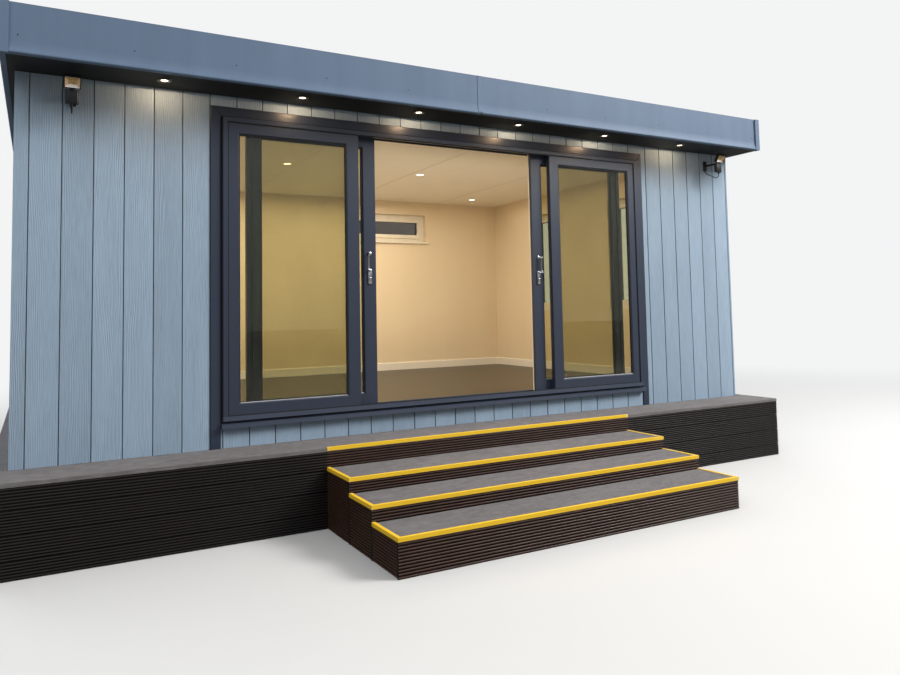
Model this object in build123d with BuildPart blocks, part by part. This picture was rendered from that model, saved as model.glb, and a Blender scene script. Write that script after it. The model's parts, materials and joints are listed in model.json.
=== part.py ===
from build123d import *
import os

# Garden office pod: a timber-clad flat-roofed room with a four-panel sliding door,
# a narrow deck on a ribbed skirt, and three wide steps.
# Millimetres. X runs along the front, Y goes from the front cladding into the room,
# Z is up from the ground, with the origin on the ground below the middle of the front wall.

# Driving dimensions: body
pod_width = 6000.0
pod_depth = 4100.0
wall_thickness = 150.0
eaves_height = 2317.0
floor_rise = 107.0
ceiling_rise = 22.0
ceiling_thickness = 12.0

# Driving dimensions: base, deck and skirt
deck_height = 510.0
cassette_depth = 100.0
joist_depth = 150.0
joist_width = 50.0
joist_bays = 12
post_size = 90.0
post_plate = 200.0
post_plate_thickness = 12.0
post_columns = 5
post_rows = 4
deck_front_overhang = 378.0
deck_side_overhang = 107.0
board_thickness = 25.0
skirt_thickness = 22.0

# Driving dimensions: steps
step_width = 2535.0
step_offset = 32.0
step_rises = (124.0, 87.5, 89.5)
step_goings = (379.0, 339.0, 342.0)
tread_thickness = 22.0
riser_thickness = 22.0
stringer_bays = 5
nosing_leg = 22.0
nosing_thickness = 3.0

# Driving dimensions: roof edge
front_overhang = 333.0
side_overhang = 65.0
fascia_height = 290.0
fascia_thickness = 22.0
lip_reach = 10.0
lip_height = 75.0
lip_nose = 14.0
fascia_joint_gap = 4.0
fascia_cover_width = 44.0
fascia_cover_thickness = 3.0
fascia_corner_width = 50.0
roof_fall = 40.0
roof_edge_drop = 30.0
membrane_thickness = 8.0
soffit_thickness = 12.0
soffit_gap = 2.0

# Driving dimensions: lamps
soffit_lamp_count = 6
soffit_lamp_pitch = 880.0
soffit_lamp_radius = 32.0
soffit_lamp_setback = 186.0
ceiling_lamp_radius = 42.0
ceiling_lamp_inner_x = 735.0
ceiling_lamp_outer_x = 2187.0
ceiling_lamp_row_pitch = 1346.0
ceiling_lamp_shift = 70.0
lamp_flange = 4.0
lamp_flange_width = 10.0
lamp_lens_lip = 4.0
lamp_body_depth = 10.0
lamp_sides = 16

# Driving dimensions: door set
door_width = 3660.0
door_head_height = 2195.0
door_cill_height = 125.0
cill_nose_height = 33.0
cill_nose_reach = 52.0
frame_front = -33.0
frame_depth = 124.0
frame_nose = 29.0
frame_lip = 8.0
jamb_width = 48.0
frame_bar_height = 45.0
head_height = 50.0
channel_depth = 12.0
track_web = 6.0
leaf_clearance = 6.0
track_floor = 21.0
rail_height = 8.0
rail_width = 4.0
trim_width = 67.0
trim_thickness = 14.0
trim_cover = 7.0
trim_head_cover = 17.0
trim_bevel = 4.0

# Driving dimensions: sashes, in the fixed panels and the sliding leaves
panel_overlap = 89.0
sash_depth = 44.0
outer_stile = 89.0
inner_stile = 93.0
sash_rail = 92.0
leaf_stile = 100.0
leaf_extra_width = 3.0
bead = 7.0
glass_thickness = 24.0
glass_bite = 12.0
leaf_stop_gap = 85.0
leaf_meeting_gap = 3.0
leaf_lift = 4.0
interlock_reach = 7.0
interlock_thickness = 3.0
interlock_play = 7.0
roller_radius = 11.0
roller_width = 9.0
roller_sides = 24
roller_inset = 120.0
roller_play = 5.0
roller_pocket_length = 34.0
roller_pocket_width = 14.0
axle_radius = 3.0
running_gap = 0.3

# Driving dimensions: door pull, a plate with a bow above and a key cylinder below
handle_plate_height = 108.0
handle_level = 1121.0
handle_plate_width = 32.0
handle_plate_thickness = 9.0
handle_plate_bevel = 10.0
bow_reach = 44.0
bow_offset = 36.0
bow_radius = 7.0
bow_length = 125.0
bow_foot_drop = 12.0
bow_corner = 16.0
bow_rose_radius = 14.0
bow_sides = 12
cylinder_radius = 9.0
cylinder_reach = 7.0
cylinder_drop = 14.0

# Driving dimensions: windows
side_window_width = 550.0
side_window_foot = 850.0
side_window_head = 2090.0
side_window_offset = 750.0
back_window_width = 1105.0
back_window_centre = 1182.0
back_window_foot = 1800.0
back_window_head = 2165.0
window_frame_width = 52.0
window_sash_width = 46.0
window_frame_depth = 70.0
window_sash_step = 14.0
window_setback = 10.0
window_glass_thickness = 24.0
window_board_thickness = 22.0
window_board_reach = 30.0

# Driving dimensions: floodlights, a wall plate, an arm, a sensor and a tilted lamp head
flood_inset = 292.0
flood_level = 2195.0
flood_plate_width = 40.0
flood_plate_height = 93.0
flood_plate_depth = 18.0
flood_plate_bevel = 8.0
flood_arm_radius = 10.0
flood_arm_length = 176.0
flood_sides = 12
sensor_width = 70.0
sensor_depth = 34.0
sensor_height = 84.0
sensor_drop = 42.0
sensor_setback = 12.0
sensor_bevel = 10.0
sensor_eye_radius = 14.0
sensor_eye_depth = 12.0
flood_head_width = 92.0
flood_head_height = 76.0
flood_head_depth = 34.0
flood_head_bevel = 7.0
flood_head_rise = 43.0
flood_tilt = 31.0
lead_radius = 3.5
lead_sag = 91.0
lead_drop = 34.0

# Levels and half sizes that follow from them
half_width = pod_width / 2
step_left = step_offset - step_width / 2
step_right = step_offset + step_width / 2
half_door = door_width / 2
soffit_z = deck_height + eaves_height
ceiling_z = soffit_z + ceiling_rise
wall_top = ceiling_z + ceiling_thickness
fascia_top = soffit_z + fascia_height
cassette_base = deck_height - cassette_depth
floor_z = deck_height + floor_rise
room_back = pod_depth - wall_thickness
deck_underside = deck_height - board_thickness
deck_half = half_width + deck_side_overhang
roof_half = half_width + side_overhang
roof_back = pod_depth + side_overhang
roof_inner_half = roof_half - fascia_thickness
roof_inner_front = fascia_thickness - front_overhang
roof_inner_back = roof_back - fascia_thickness


def panel(low, high):
    """A straight panel or board between its lowest and its highest corner."""
    size = [top - bottom for bottom, top in zip(low, high)]
    with BuildPart(Plane(origin=low)) as piece:
        Box(*size, align=(Align.MIN, Align.MIN, Align.MIN))
    return piece.part


def save(part, name):
    """Labels a finished piece and writes it under its own name."""
    part.label = name
    export_step(part, f"parts/{name}.step")


def mirrored_pair(part):
    """The piece and its mirror image across the middle of the front."""
    return Compound(children=[part, part.mirror(Plane.YZ)])


os.makedirs("parts", exist_ok=True)

# Base: joists on posts, the floor cassette and the finished floor.
with BuildPart() as base_frame:
    joist_z = cassette_base - joist_depth
    joist_step = (pod_width - joist_width) / joist_bays
    with BuildSketch(Plane.XY.offset(joist_z)):
        for y in (joist_width / 2, pod_depth - joist_width / 2):
            with Locations((0, y)):
                Rectangle(pod_width, joist_width)
        with Locations((0, pod_depth / 2)):
            with GridLocations(joist_step, 1, joist_bays + 1, 1):
                Rectangle(joist_width, pod_depth)
    extrude(amount=joist_depth)
    rim_front = skirt_thickness - deck_front_overhang
    with BuildSketch(Plane.XY.offset(deck_underside - joist_depth)):
        with Locations((0, rim_front + joist_width / 2)):
            Rectangle(2 * (deck_half - skirt_thickness), joist_width)
        with Locations((0, rim_front / 2)):
            with GridLocations(joist_step, 1, joist_bays + 1, 1):
                Rectangle(joist_width, -rim_front)
        for side in (-1, 1):
            ledger = deck_side_overhang - skirt_thickness
            ledger_back = pod_depth + ledger
            with Locations((side * (half_width + ledger / 2), (rim_front + ledger_back) / 2)):
                Rectangle(ledger, ledger_back - rim_front)
        with Locations((0, pod_depth + ledger / 2)):
            Rectangle(pod_width + 2 * ledger, ledger)
    extrude(amount=joist_depth)
save(base_frame.part, "base_frame")

post_step_x = (pod_width - joist_width) / (post_columns - 1)
post_step_y = (pod_depth - joist_width) / (post_rows - 1)
with BuildPart() as support_posts:
    for size, height in ((post_plate, post_plate_thickness), (post_size, joist_z)):
        with BuildSketch():
            with Locations((0, pod_depth / 2)):
                with GridLocations(post_step_x, post_step_y, post_columns, post_rows):
                    Rectangle(size, size)
        extrude(amount=height)
save(support_posts.part, "support_posts")

floor_cassette = panel((-half_width, 0, cassette_base), (half_width, pod_depth, deck_height))
save(floor_cassette, "floor_cassette")

room_floor = panel(
    (wall_thickness - half_width, wall_thickness, deck_height),
    (half_width - wall_thickness, room_back, floor_z),
)
save(room_floor, "room_floor")

# Deck: boards along the front, edge boards round the other three sides.
front_deck = panel((-deck_half, -deck_front_overhang, deck_underside), (deck_half, 0, deck_height))
save(front_deck, "front_deck")

with BuildPart() as deck_edge_boards:
    deck_back = pod_depth + deck_side_overhang
    with BuildSketch(Plane.XY.offset(deck_underside)):
        with Locations((0, deck_back / 2)):
            Rectangle(2 * deck_half, deck_back)
        with Locations((0, pod_depth / 2)):
            Rectangle(pod_width, pod_depth, mode=Mode.SUBTRACT)
    extrude(amount=board_thickness)
save(deck_edge_boards.part, "deck_edge_boards")

# Skirt: upright boards from the deck down to the ground on all four sides.
skirt_left = panel(
    (-deck_half, -deck_front_overhang, 0),
    (step_left, skirt_thickness - deck_front_overhang, deck_underside),
)
skirt_right = panel(
    (step_right, -deck_front_overhang, 0),
    (deck_half, skirt_thickness - deck_front_overhang, deck_underside),
)
save(Compound(children=[skirt_left, skirt_right]), "front_skirts")

deck_riser = panel(
    (step_left, -deck_front_overhang, 0),
    (step_right, skirt_thickness - deck_front_overhang, deck_underside),
)
save(deck_riser, "deck_riser")

side_skirt = panel(
    (-deck_half, skirt_thickness - deck_front_overhang, 0),
    (skirt_thickness - deck_half, deck_back - skirt_thickness, deck_underside),
)
save(mirrored_pair(side_skirt), "side_skirts")

back_skirt = panel((-deck_half, deck_back - skirt_thickness, 0), (deck_half, deck_back, deck_underside))
save(back_skirt, "back_skirt")

# Steps: riser boards and stringers in one carcass, a tread on each stage, and edge nosings.
step_tops = []
step_fronts = []
level = deck_height
front = -deck_front_overhang
for rise, going in zip(step_rises, step_goings):
    level -= rise
    front -= going
    step_tops.append(level)
    step_fronts.append(front)
step_backs = [-deck_front_overhang] + step_fronts[:-1]

with BuildPart() as step_carcass:
    for top, front, back in zip(step_tops, step_fronts, step_backs):
        with BuildSketch():
            with Locations((step_offset, (front + back) / 2)):
                Rectangle(step_width, back - front)
            with Locations((step_offset, (front + back + riser_thickness) / 2)):
                bay = (step_width - riser_thickness) / stringer_bays
                with GridLocations(bay, 1, stringer_bays, 1):
                    Rectangle(bay - riser_thickness, back - front - riser_thickness, mode=Mode.SUBTRACT)
        extrude(amount=top - tread_thickness)
save(step_carcass.part, "step_carcass")

with BuildPart() as step_treads:
    for top, front, back in zip(step_tops, step_fronts, step_backs):
        with BuildSketch(Plane.XY.offset(top - tread_thickness)):
            with Locations((step_offset, (front + back) / 2)):
                Rectangle(step_width, back - front)
        extrude(amount=tread_thickness)
save(step_treads.part, "step_treads")


def nosing(top, front, back):
    """An angle strip round the front and both ends of one step."""
    middle = (front + back - nosing_thickness) / 2
    length = back - front + nosing_thickness
    with BuildPart() as strip:
        with BuildSketch(Plane.XY.offset(top)):
            with Locations((step_offset, middle)):
                Rectangle(step_width + 2 * nosing_thickness, length)
            with Locations((step_offset, middle + nosing_leg / 2)):
                Rectangle(step_width + 2 * nosing_thickness - 2 * nosing_leg,
                          length - nosing_leg, mode=Mode.SUBTRACT)
        extrude(amount=nosing_thickness)
        with BuildSketch(Plane.XY.offset(top)):
            with Locations((step_offset, middle)):
                Rectangle(step_width + 2 * nosing_thickness, length)
            with Locations((step_offset, middle + nosing_thickness / 2)):
                Rectangle(step_width, length - nosing_thickness, mode=Mode.SUBTRACT)
        extrude(amount=nosing_thickness - nosing_leg)
    return strip.part


step_nosings = [nosing(*stage) for stage in zip(step_tops, step_fronts, step_backs)]
save(Compound(children=step_nosings), "step_nosings")

with BuildPart() as deck_nosing:
    with BuildSketch(Plane.YZ.offset(step_left)):
        with BuildLine():
            Polyline(
                (-deck_front_overhang - nosing_thickness, deck_height + nosing_thickness),
                (-deck_front_overhang - nosing_thickness + nosing_leg, deck_height + nosing_thickness),
                (-deck_front_overhang - nosing_thickness + nosing_leg, deck_height),
                (-deck_front_overhang, deck_height),
                (-deck_front_overhang, deck_height + nosing_thickness - nosing_leg),
                (-deck_front_overhang - nosing_thickness, deck_height + nosing_thickness - nosing_leg),
                close=True,
            )
        make_face()
    extrude(amount=step_width)
save(deck_nosing.part, "deck_nosing")

# Walls: the front one in four panels round the doorway, windows cut through two others.
door_head_z = deck_height + door_head_height
door_cill_z = deck_height + door_cill_height
wall_beside_door = panel((-half_width, 0, deck_height), (-half_door, wall_thickness, wall_top))
save(wall_beside_door, "front_wall_left")
save(wall_beside_door.mirror(Plane.YZ), "front_wall_right")

front_wall_header = panel((-half_door, 0, door_head_z), (half_door, wall_thickness, wall_top))
save(front_wall_header, "front_wall_header")

front_wall_sill = panel((-half_door, 0, deck_height), (half_door, wall_thickness, door_cill_z))
save(front_wall_sill, "front_wall_sill")

left_wall = panel(
    (-half_width, wall_thickness, deck_height),
    (wall_thickness - half_width, room_back, wall_top),
)
save(left_wall, "left_wall")

wall_height = wall_top - deck_height
wall_middle = (wall_top + deck_height) / 2
side_window_z = deck_height + (side_window_foot + side_window_head) / 2
side_window_height = side_window_head - side_window_foot
side_windows = [
    (pod_depth / 2 - side_window_offset, side_window_z),
    (pod_depth / 2 + side_window_offset, side_window_z),
]
with BuildPart() as right_wall:
    with BuildSketch(Plane.YZ.offset(half_width - wall_thickness)):
        with Locations((pod_depth / 2, wall_middle)):
            Rectangle(room_back - wall_thickness, wall_height)
        with Locations(*side_windows):
            Rectangle(side_window_width, side_window_height, mode=Mode.SUBTRACT)
    extrude(amount=wall_thickness)
save(right_wall.part, "right_wall")

back_window_z = deck_height + (back_window_foot + back_window_head) / 2
back_window_height = back_window_head - back_window_foot
with BuildPart() as back_wall:
    with BuildSketch(Plane.XZ.offset(-pod_depth)):
        with Locations((0, wall_middle)):
            Rectangle(pod_width, wall_height)
        with Locations((back_window_centre, back_window_z)):
            Rectangle(back_window_width, back_window_height, mode=Mode.SUBTRACT)
    extrude(amount=wall_thickness)
save(back_wall.part, "back_wall")


# Windows: a frame with a sash standing proud of it inside, and sealed glass, seen from outside.
def window_frame(outside, centres, width, height):
    """Frame and sash of like windows, drawn on the wall's outer plane."""
    sight = (width - 2 * (window_frame_width + window_sash_width),
             height - 2 * (window_frame_width + window_sash_width))
    sash_size = (width - 2 * window_frame_width, height - 2 * window_frame_width)
    glass_size = (sight[0] + 2 * glass_bite, sight[1] + 2 * glass_bite)
    with BuildPart() as ring:
        with BuildSketch(outside.offset(-window_setback)):
            with Locations(*centres):
                Rectangle(width, height)
                Rectangle(*sight, mode=Mode.SUBTRACT)
        extrude(amount=-window_frame_depth)
        with BuildSketch(outside.offset(-window_setback - window_frame_depth)):
            with Locations(*centres):
                Rectangle(*sash_size)
                Rectangle(*sight, mode=Mode.SUBTRACT)
        extrude(amount=-window_sash_step)
        with BuildSketch(outside.offset(-window_setback - window_frame_depth / 2)):
            with Locations(*centres):
                Rectangle(*glass_size)
        extrude(amount=-window_glass_thickness, mode=Mode.SUBTRACT)
    with BuildPart() as panes:
        with BuildSketch(outside.offset(-window_setback - window_frame_depth / 2)):
            with Locations(*centres):
                Rectangle(*glass_size)
        extrude(amount=-window_glass_thickness)
    return ring.part, panes.part


right_face = Plane.YZ.offset(half_width)
side_frames, side_panes = window_frame(right_face, side_windows, side_window_width, side_window_height)
back_face = Plane(origin=(0, pod_depth, 0), x_dir=(-1, 0, 0), z_dir=(0, 1, 0))
back_frame, back_pane = window_frame(
    back_face, [(-back_window_centre, back_window_z)], back_window_width, back_window_height
)
save(side_frames, "right_window_frames")
save(side_panes, "right_window_glass")
save(back_frame, "back_window_frame")
save(back_pane, "back_window_glass")

window_board = panel(
    (back_window_centre - back_window_width / 2 - window_board_reach,
     room_back - window_board_reach,
     deck_height + back_window_foot - window_board_thickness),
    (back_window_centre + back_window_width / 2 + window_board_reach,
     room_back,
     deck_height + back_window_foot),
)
save(window_board, "back_window_board")

# Door set: an outer frame with two tracks, the outer one filled by the fixed panels.
outer_track = (frame_front + frame_lip, frame_front + frame_lip + sash_depth)
inner_track = (outer_track[1] + track_web, outer_track[1] + track_web + sash_depth + 2 * leaf_clearance)
frame_back = frame_front + frame_depth
leaf_front = inner_track[0] + leaf_clearance
sight_left = jamb_width - half_door
nose_left = sight_left - frame_nose
trim_inner = half_door - trim_cover
cill_top = door_cill_z + cill_nose_height
bar_top = cill_top + frame_bar_height
head_z = door_head_z - head_height
fixed_left = sight_left - channel_depth
sash_width = (panel_overlap - fixed_left - leaf_meeting_gap) / 2
fixed_edge = fixed_left + sash_width
leaf_width = sash_width + leaf_extra_width
leaf_travel = (-fixed_edge - leaf_stop_gap - leaf_meeting_gap
               - (leaf_stile + handle_plate_width) / 2)
rail_top = cill_top + track_floor + rail_height

with BuildPart() as door_cill:
    with BuildSketch(Plane.YZ.offset(-half_door)):
        with BuildLine():
            Polyline(
                (0, door_cill_z),
                (frame_back, door_cill_z),
                (frame_back, bar_top),
                (0, bar_top),
                close=True,
            )
        make_face()
    extrude(amount=door_width)
    with BuildSketch(Plane.XY.offset(bar_top)):
        with Locations((0, frame_front / 2)):
            Rectangle(-2 * nose_left, -frame_front)
    extrude(amount=-frame_nose)
    with BuildSketch(Plane.YZ.offset(-trim_inner)):
        with BuildLine():
            Polyline(
                (0, door_cill_z),
                (0, cill_top),
                (-cill_nose_reach, cill_top - cill_nose_height / 8),
                (-cill_nose_reach, door_cill_z + cill_nose_height / 8),
                close=True,
            )
        make_face()
    extrude(amount=2 * trim_inner)
    with BuildSketch(Plane.XY.offset(bar_top)):
        for side in (-1, 1):
            with Locations((side * (fixed_left + sash_width / 2), sum(outer_track) / 2)):
                Rectangle(sash_width, sash_depth)
    extrude(amount=-channel_depth, mode=Mode.SUBTRACT)
    with BuildSketch(Plane.XY.offset(bar_top)):
        with Locations((0, sum(inner_track) / 2)):
            Rectangle(-2 * sight_left, inner_track[1] - inner_track[0])
    extrude(amount=track_floor - frame_bar_height, mode=Mode.SUBTRACT)
    with BuildSketch(Plane.XY.offset(cill_top + track_floor)):
        with Locations((0, sum(inner_track) / 2)):
            Rectangle(-2 * sight_left, rail_width)
    extrude(amount=rail_height)
save(door_cill.part, "door_cill")

with BuildPart() as door_head:
    with BuildSketch(Plane.XY.offset(head_z)):
        with Locations((0, frame_back / 2)):
            Rectangle(door_width, frame_back)
    extrude(amount=head_height)
    with BuildSketch(Plane.XY.offset(head_z)):
        with Locations((0, frame_front / 2)):
            Rectangle(-2 * nose_left, -frame_front)
    extrude(amount=frame_nose)
    with BuildSketch(Plane.XY.offset(head_z)):
        for side in (-1, 1):
            with Locations((side * (fixed_left + sash_width / 2), sum(outer_track) / 2)):
                Rectangle(sash_width, sash_depth)
    extrude(amount=channel_depth, mode=Mode.SUBTRACT)
    with BuildSketch(Plane.XY.offset(head_z)):
        with Locations((0, sum(inner_track) / 2)):
            Rectangle(-2 * sight_left, inner_track[1] - inner_track[0])
    extrude(amount=2 * channel_depth, mode=Mode.SUBTRACT)
save(door_head.part, "door_head")

with BuildPart() as door_jamb:
    with BuildSketch(Plane.XY.offset(bar_top)):
        with Locations((jamb_width / 2 - half_door, frame_back / 2)):
            Rectangle(jamb_width, frame_back)
        with Locations(((nose_left + sight_left) / 2, frame_front / 2)):
            Rectangle(frame_nose, -frame_front)
        with Locations((sight_left - channel_depth / 2, sum(outer_track) / 2)):
            Rectangle(channel_depth, sash_depth, mode=Mode.SUBTRACT)
        with Locations((sight_left - channel_depth / 2, sum(inner_track) / 2)):
            Rectangle(channel_depth, inner_track[1] - inner_track[0], mode=Mode.SUBTRACT)
    extrude(amount=head_z - bar_top)
save(mirrored_pair(door_jamb.part), "door_jambs")

# Flat trims on the cladding beside and over the door frame.
trim_top = door_head_z - trim_head_cover + trim_width
trim_outer = trim_inner + trim_width
trim_foot = trim_top - trim_width


def trim(outline, name):
    """A flat trim of the given outline, its front edges bevelled."""
    with BuildPart() as strip:
        with BuildSketch(Plane.XZ):
            with BuildLine():
                Polyline(*outline, close=True)
            make_face()
        extrude(amount=trim_thickness)
        chamfer(strip.faces().sort_by(Axis.Y)[0].edges(), trim_bevel)
    save(strip.part, name)


for side, name in ((-1, "door_trim_left"), (1, "door_trim_right")):
    trim([(side * trim_outer, deck_height), (side * trim_outer, trim_top),
          (side * trim_inner, trim_foot), (side * trim_inner, deck_height)], name)
trim([(-trim_outer, trim_top), (trim_outer, trim_top),
      (trim_inner, trim_foot), (-trim_inner, trim_foot)], "door_trim_top")


def sash(left, width, front, bottom, top, stiles):
    """One glazed sash: a beaded ring, grooved on its inside for the sealed glass."""
    left_stile, right_stile = stiles
    sight = (width - left_stile - right_stile, top - bottom - 2 * sash_rail)
    centre = (left + left_stile + sight[0] / 2, (bottom + top) / 2)
    with BuildPart() as ring:
        with BuildSketch(Plane.XZ.offset(-front)):
            with Locations((left + width / 2, (bottom + top) / 2)):
                Rectangle(width, top - bottom)
            with Locations(centre):
                Rectangle(*sight, mode=Mode.SUBTRACT)
        extrude(amount=-sash_depth)
        for face in ring.faces().filter_by(Axis.Y).sort_by(Axis.Y):
            chamfer(face.inner_wires()[0].edges(), bead)
        with BuildSketch(Plane.XZ.offset(-front - (sash_depth - glass_thickness) / 2)):
            with Locations(centre):
                Rectangle(sight[0] + 2 * glass_bite, sight[1] + 2 * glass_bite)
        extrude(amount=-glass_thickness, mode=Mode.SUBTRACT)
    with BuildPart() as pane:
        with BuildSketch(Plane.XZ.offset(-front - (sash_depth - glass_thickness) / 2)):
            with Locations(centre):
                Rectangle(sight[0] + 2 * glass_bite, sight[1] + 2 * glass_bite)
        extrude(amount=-glass_thickness)
    return ring.part, pane.part


# Fixed panels, one each side, held in the outer track; each carries half of the interlock.
fixed_bottom = bar_top - channel_depth
fixed_top = head_z + channel_depth
fixed_sash, fixed_pane = sash(
    fixed_left, sash_width, outer_track[0], fixed_bottom, fixed_top, (outer_stile, inner_stile)
)
interlock_x = fixed_edge - inner_stile / 2
with BuildPart() as fixed_panel:
    add(fixed_sash)
    with BuildSketch(Plane.XY.offset(bar_top)):
        with Locations((interlock_x, outer_track[1])):
            Rectangle(interlock_thickness, interlock_reach, align=(Align.MIN, Align.MIN))
    extrude(amount=head_z - bar_top)
save(mirrored_pair(fixed_panel.part), "fixed_sashes")
save(mirrored_pair(fixed_pane), "fixed_glass")

# Sliding leaves, shown fully open behind the fixed panels; their rollers run on the cill's rail.
leaf_bottom = rail_top + running_gap + leaf_lift
leaf_top = head_z + channel_depth
leaf_left = -leaf_meeting_gap - leaf_travel - leaf_width
leaf_ring, leaf_pane = sash(
    leaf_left, leaf_width, leaf_front, leaf_bottom, leaf_top, (leaf_stile, leaf_stile)
)
closed_lock = interlock_x - interlock_play - interlock_thickness
roller_centre_z = rail_top + running_gap + roller_radius
roller_xs = (leaf_left + roller_inset, leaf_left + leaf_width - roller_inset)
track_y = sum(inner_track) / 2

with BuildPart() as leaf_sash:
    add(leaf_ring)
    with BuildSketch(Plane.XY.offset(bar_top)):
        with Locations((closed_lock - leaf_travel, leaf_front)):
            Rectangle(interlock_thickness, interlock_reach, align=(Align.MIN, Align.MAX))
    extrude(amount=head_z - bar_top)
    with BuildSketch(Plane.XY.offset(leaf_bottom)):
        with Locations(*[(x, track_y) for x in roller_xs]):
            Rectangle(roller_pocket_length, roller_pocket_width)
    extrude(amount=roller_centre_z + roller_radius + roller_play - leaf_bottom, mode=Mode.SUBTRACT)

with BuildPart() as rollers:
    roller_plane = Plane.XZ.offset(-track_y)
    roller_places = [(x, roller_centre_z) for x in roller_xs]
    for radius, width in ((roller_radius, roller_width), (axle_radius, roller_pocket_width)):
        with BuildSketch(roller_plane):
            with Locations(*roller_places):
                RegularPolygon(radius, roller_sides)
        extrude(amount=width / 2, both=True)

handle_x = leaf_left + leaf_width - leaf_stile / 2
handle_z = deck_height + handle_level
leaf_back = leaf_front + sash_depth
bow_foot_z = handle_z + handle_plate_height / 2 - bow_foot_drop
bow_span = (bow_reach**2 + bow_offset**2) ** 0.5
with BuildPart() as leaf_handle:
    for face_y, out in ((leaf_front, -1), (leaf_back, 1)):
        face_plane = Plane(origin=(handle_x, face_y, handle_z), x_dir=(1, 0, 0), z_dir=(0, out, 0))
        with BuildSketch(face_plane):
            plate = Rectangle(handle_plate_width, handle_plate_height)
            chamfer(plate.vertices(), handle_plate_bevel)
        extrude(amount=handle_plate_thickness)
        with BuildSketch(face_plane):
            with Locations((0, -cylinder_drop)):
                RegularPolygon(cylinder_radius, bow_sides)
        extrude(amount=handle_plate_thickness + cylinder_reach)
        with BuildSketch(face_plane):
            with Locations((0, bow_foot_z + bow_length - handle_z)):
                RegularPolygon(bow_rose_radius, bow_sides)
        extrude(amount=handle_plate_thickness)
        bow_plane = Plane(
            origin=(handle_x, face_y + out * handle_plate_thickness / 2, bow_foot_z),
            x_dir=(-bow_offset, out * bow_reach, 0),
            z_dir=(-out * bow_reach, -bow_offset, 0),
        )
        with BuildLine(bow_plane) as bow_line:
            Polyline((0, 0), (bow_span - bow_corner, 0), (bow_span, bow_corner),
                     (bow_span, bow_length - bow_corner), (bow_span - bow_corner, bow_length),
                     (0, bow_length))
        with BuildSketch(Plane(origin=bow_line.line @ 0, z_dir=bow_line.line % 0)):
            RegularPolygon(bow_radius, bow_sides)
        sweep(path=bow_line.line, transition=Transition.RIGHT)

for side, flip in (("left", False), ("right", True)):
    for part, name in (
        (leaf_sash.part, "sash"),
        (leaf_pane, "glass"),
        (leaf_handle.part, "handle"),
        (rollers.part, "rollers"),
    ):
        save(part.mirror(Plane.YZ) if flip else part, f"{side}_leaf_{name}")

# Roof: ceiling, a panel that falls to the back, its membrane, and the fascias round it.
ceiling = panel(
    (wall_thickness - half_width, wall_thickness, ceiling_z),
    (half_width - wall_thickness, room_back, wall_top),
)
lamp_middle = (wall_thickness + room_back) / 2 + ceiling_lamp_shift
ceiling_lamp_places = [(side * ceiling_lamp_inner_x, lamp_middle) for side in (-1, 1)] + [
    (side * ceiling_lamp_outer_x, lamp_middle + row * ceiling_lamp_row_pitch)
    for side in (-1, 1) for row in (-1, 1)
]
with BuildPart() as ceiling_panel:
    add(ceiling)
    with BuildSketch(Plane.XY.offset(ceiling_z)):
        with Locations(*ceiling_lamp_places):
            RegularPolygon(ceiling_lamp_radius, lamp_sides)
    extrude(amount=ceiling_thickness, mode=Mode.SUBTRACT)
save(ceiling_panel.part, "ceiling_panel")

roof_front_z = fascia_top - roof_edge_drop
roof_back_z = roof_front_z - roof_fall
with BuildPart() as roof_panel:
    with BuildSketch(Plane.YZ.offset(-roof_inner_half)):
        with BuildLine():
            Polyline(
                (roof_inner_front, wall_top),
                (roof_inner_back, wall_top),
                (roof_inner_back, roof_back_z),
                (roof_inner_front, roof_front_z),
                close=True,
            )
        make_face()
    extrude(amount=2 * roof_inner_half)
save(roof_panel.part, "roof_panel")

with BuildPart() as roof_membrane:
    with BuildSketch(Plane.YZ.offset(-roof_inner_half)):
        with BuildLine():
            Polyline(
                (roof_inner_front, roof_front_z),
                (roof_inner_back, roof_back_z),
                (roof_inner_back, roof_back_z + membrane_thickness),
                (roof_inner_front, roof_front_z + membrane_thickness),
                close=True,
            )
        make_face()
    extrude(amount=2 * roof_inner_half)
save(roof_membrane.part, "roof_membrane")


def fascia(plane, length):
    """A fascia board, flared to a round nose at its foot, drawn across and run along its length."""
    with BuildPart() as board:
        with BuildSketch(plane):
            with BuildLine():
                Polyline((0, lip_height), (0, fascia_height), (-fascia_thickness, fascia_height),
                         (-fascia_thickness, 0), (0, 0))
                TangentArc((0, lip_height), (lip_reach, lip_nose), tangent=(0, -1))
                ThreePointArc((lip_reach, lip_nose), (0.8 * lip_reach, 0.25 * lip_nose), (0, 0))
            make_face()
        extrude(amount=length)
    return board.part


front_board = fascia(
    Plane(origin=(-fascia_joint_gap / 2, -front_overhang, soffit_z), x_dir=(0, -1, 0), z_dir=(-1, 0, 0)),
    roof_half - fascia_joint_gap / 2,
)
save(mirrored_pair(front_board), "front_fascia")
side_board = fascia(
    Plane(origin=(-roof_half, roof_inner_front, soffit_z), x_dir=(-1, 0, 0), z_dir=(0, 1, 0)),
    roof_inner_back - roof_inner_front,
)
save(mirrored_pair(side_board), "side_fascias")
back_board = fascia(
    Plane(origin=(-roof_half, roof_back, soffit_z), x_dir=(0, 1, 0), z_dir=(1, 0, 0)),
    2 * roof_half,
)
save(back_board, "back_fascia")

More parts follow.
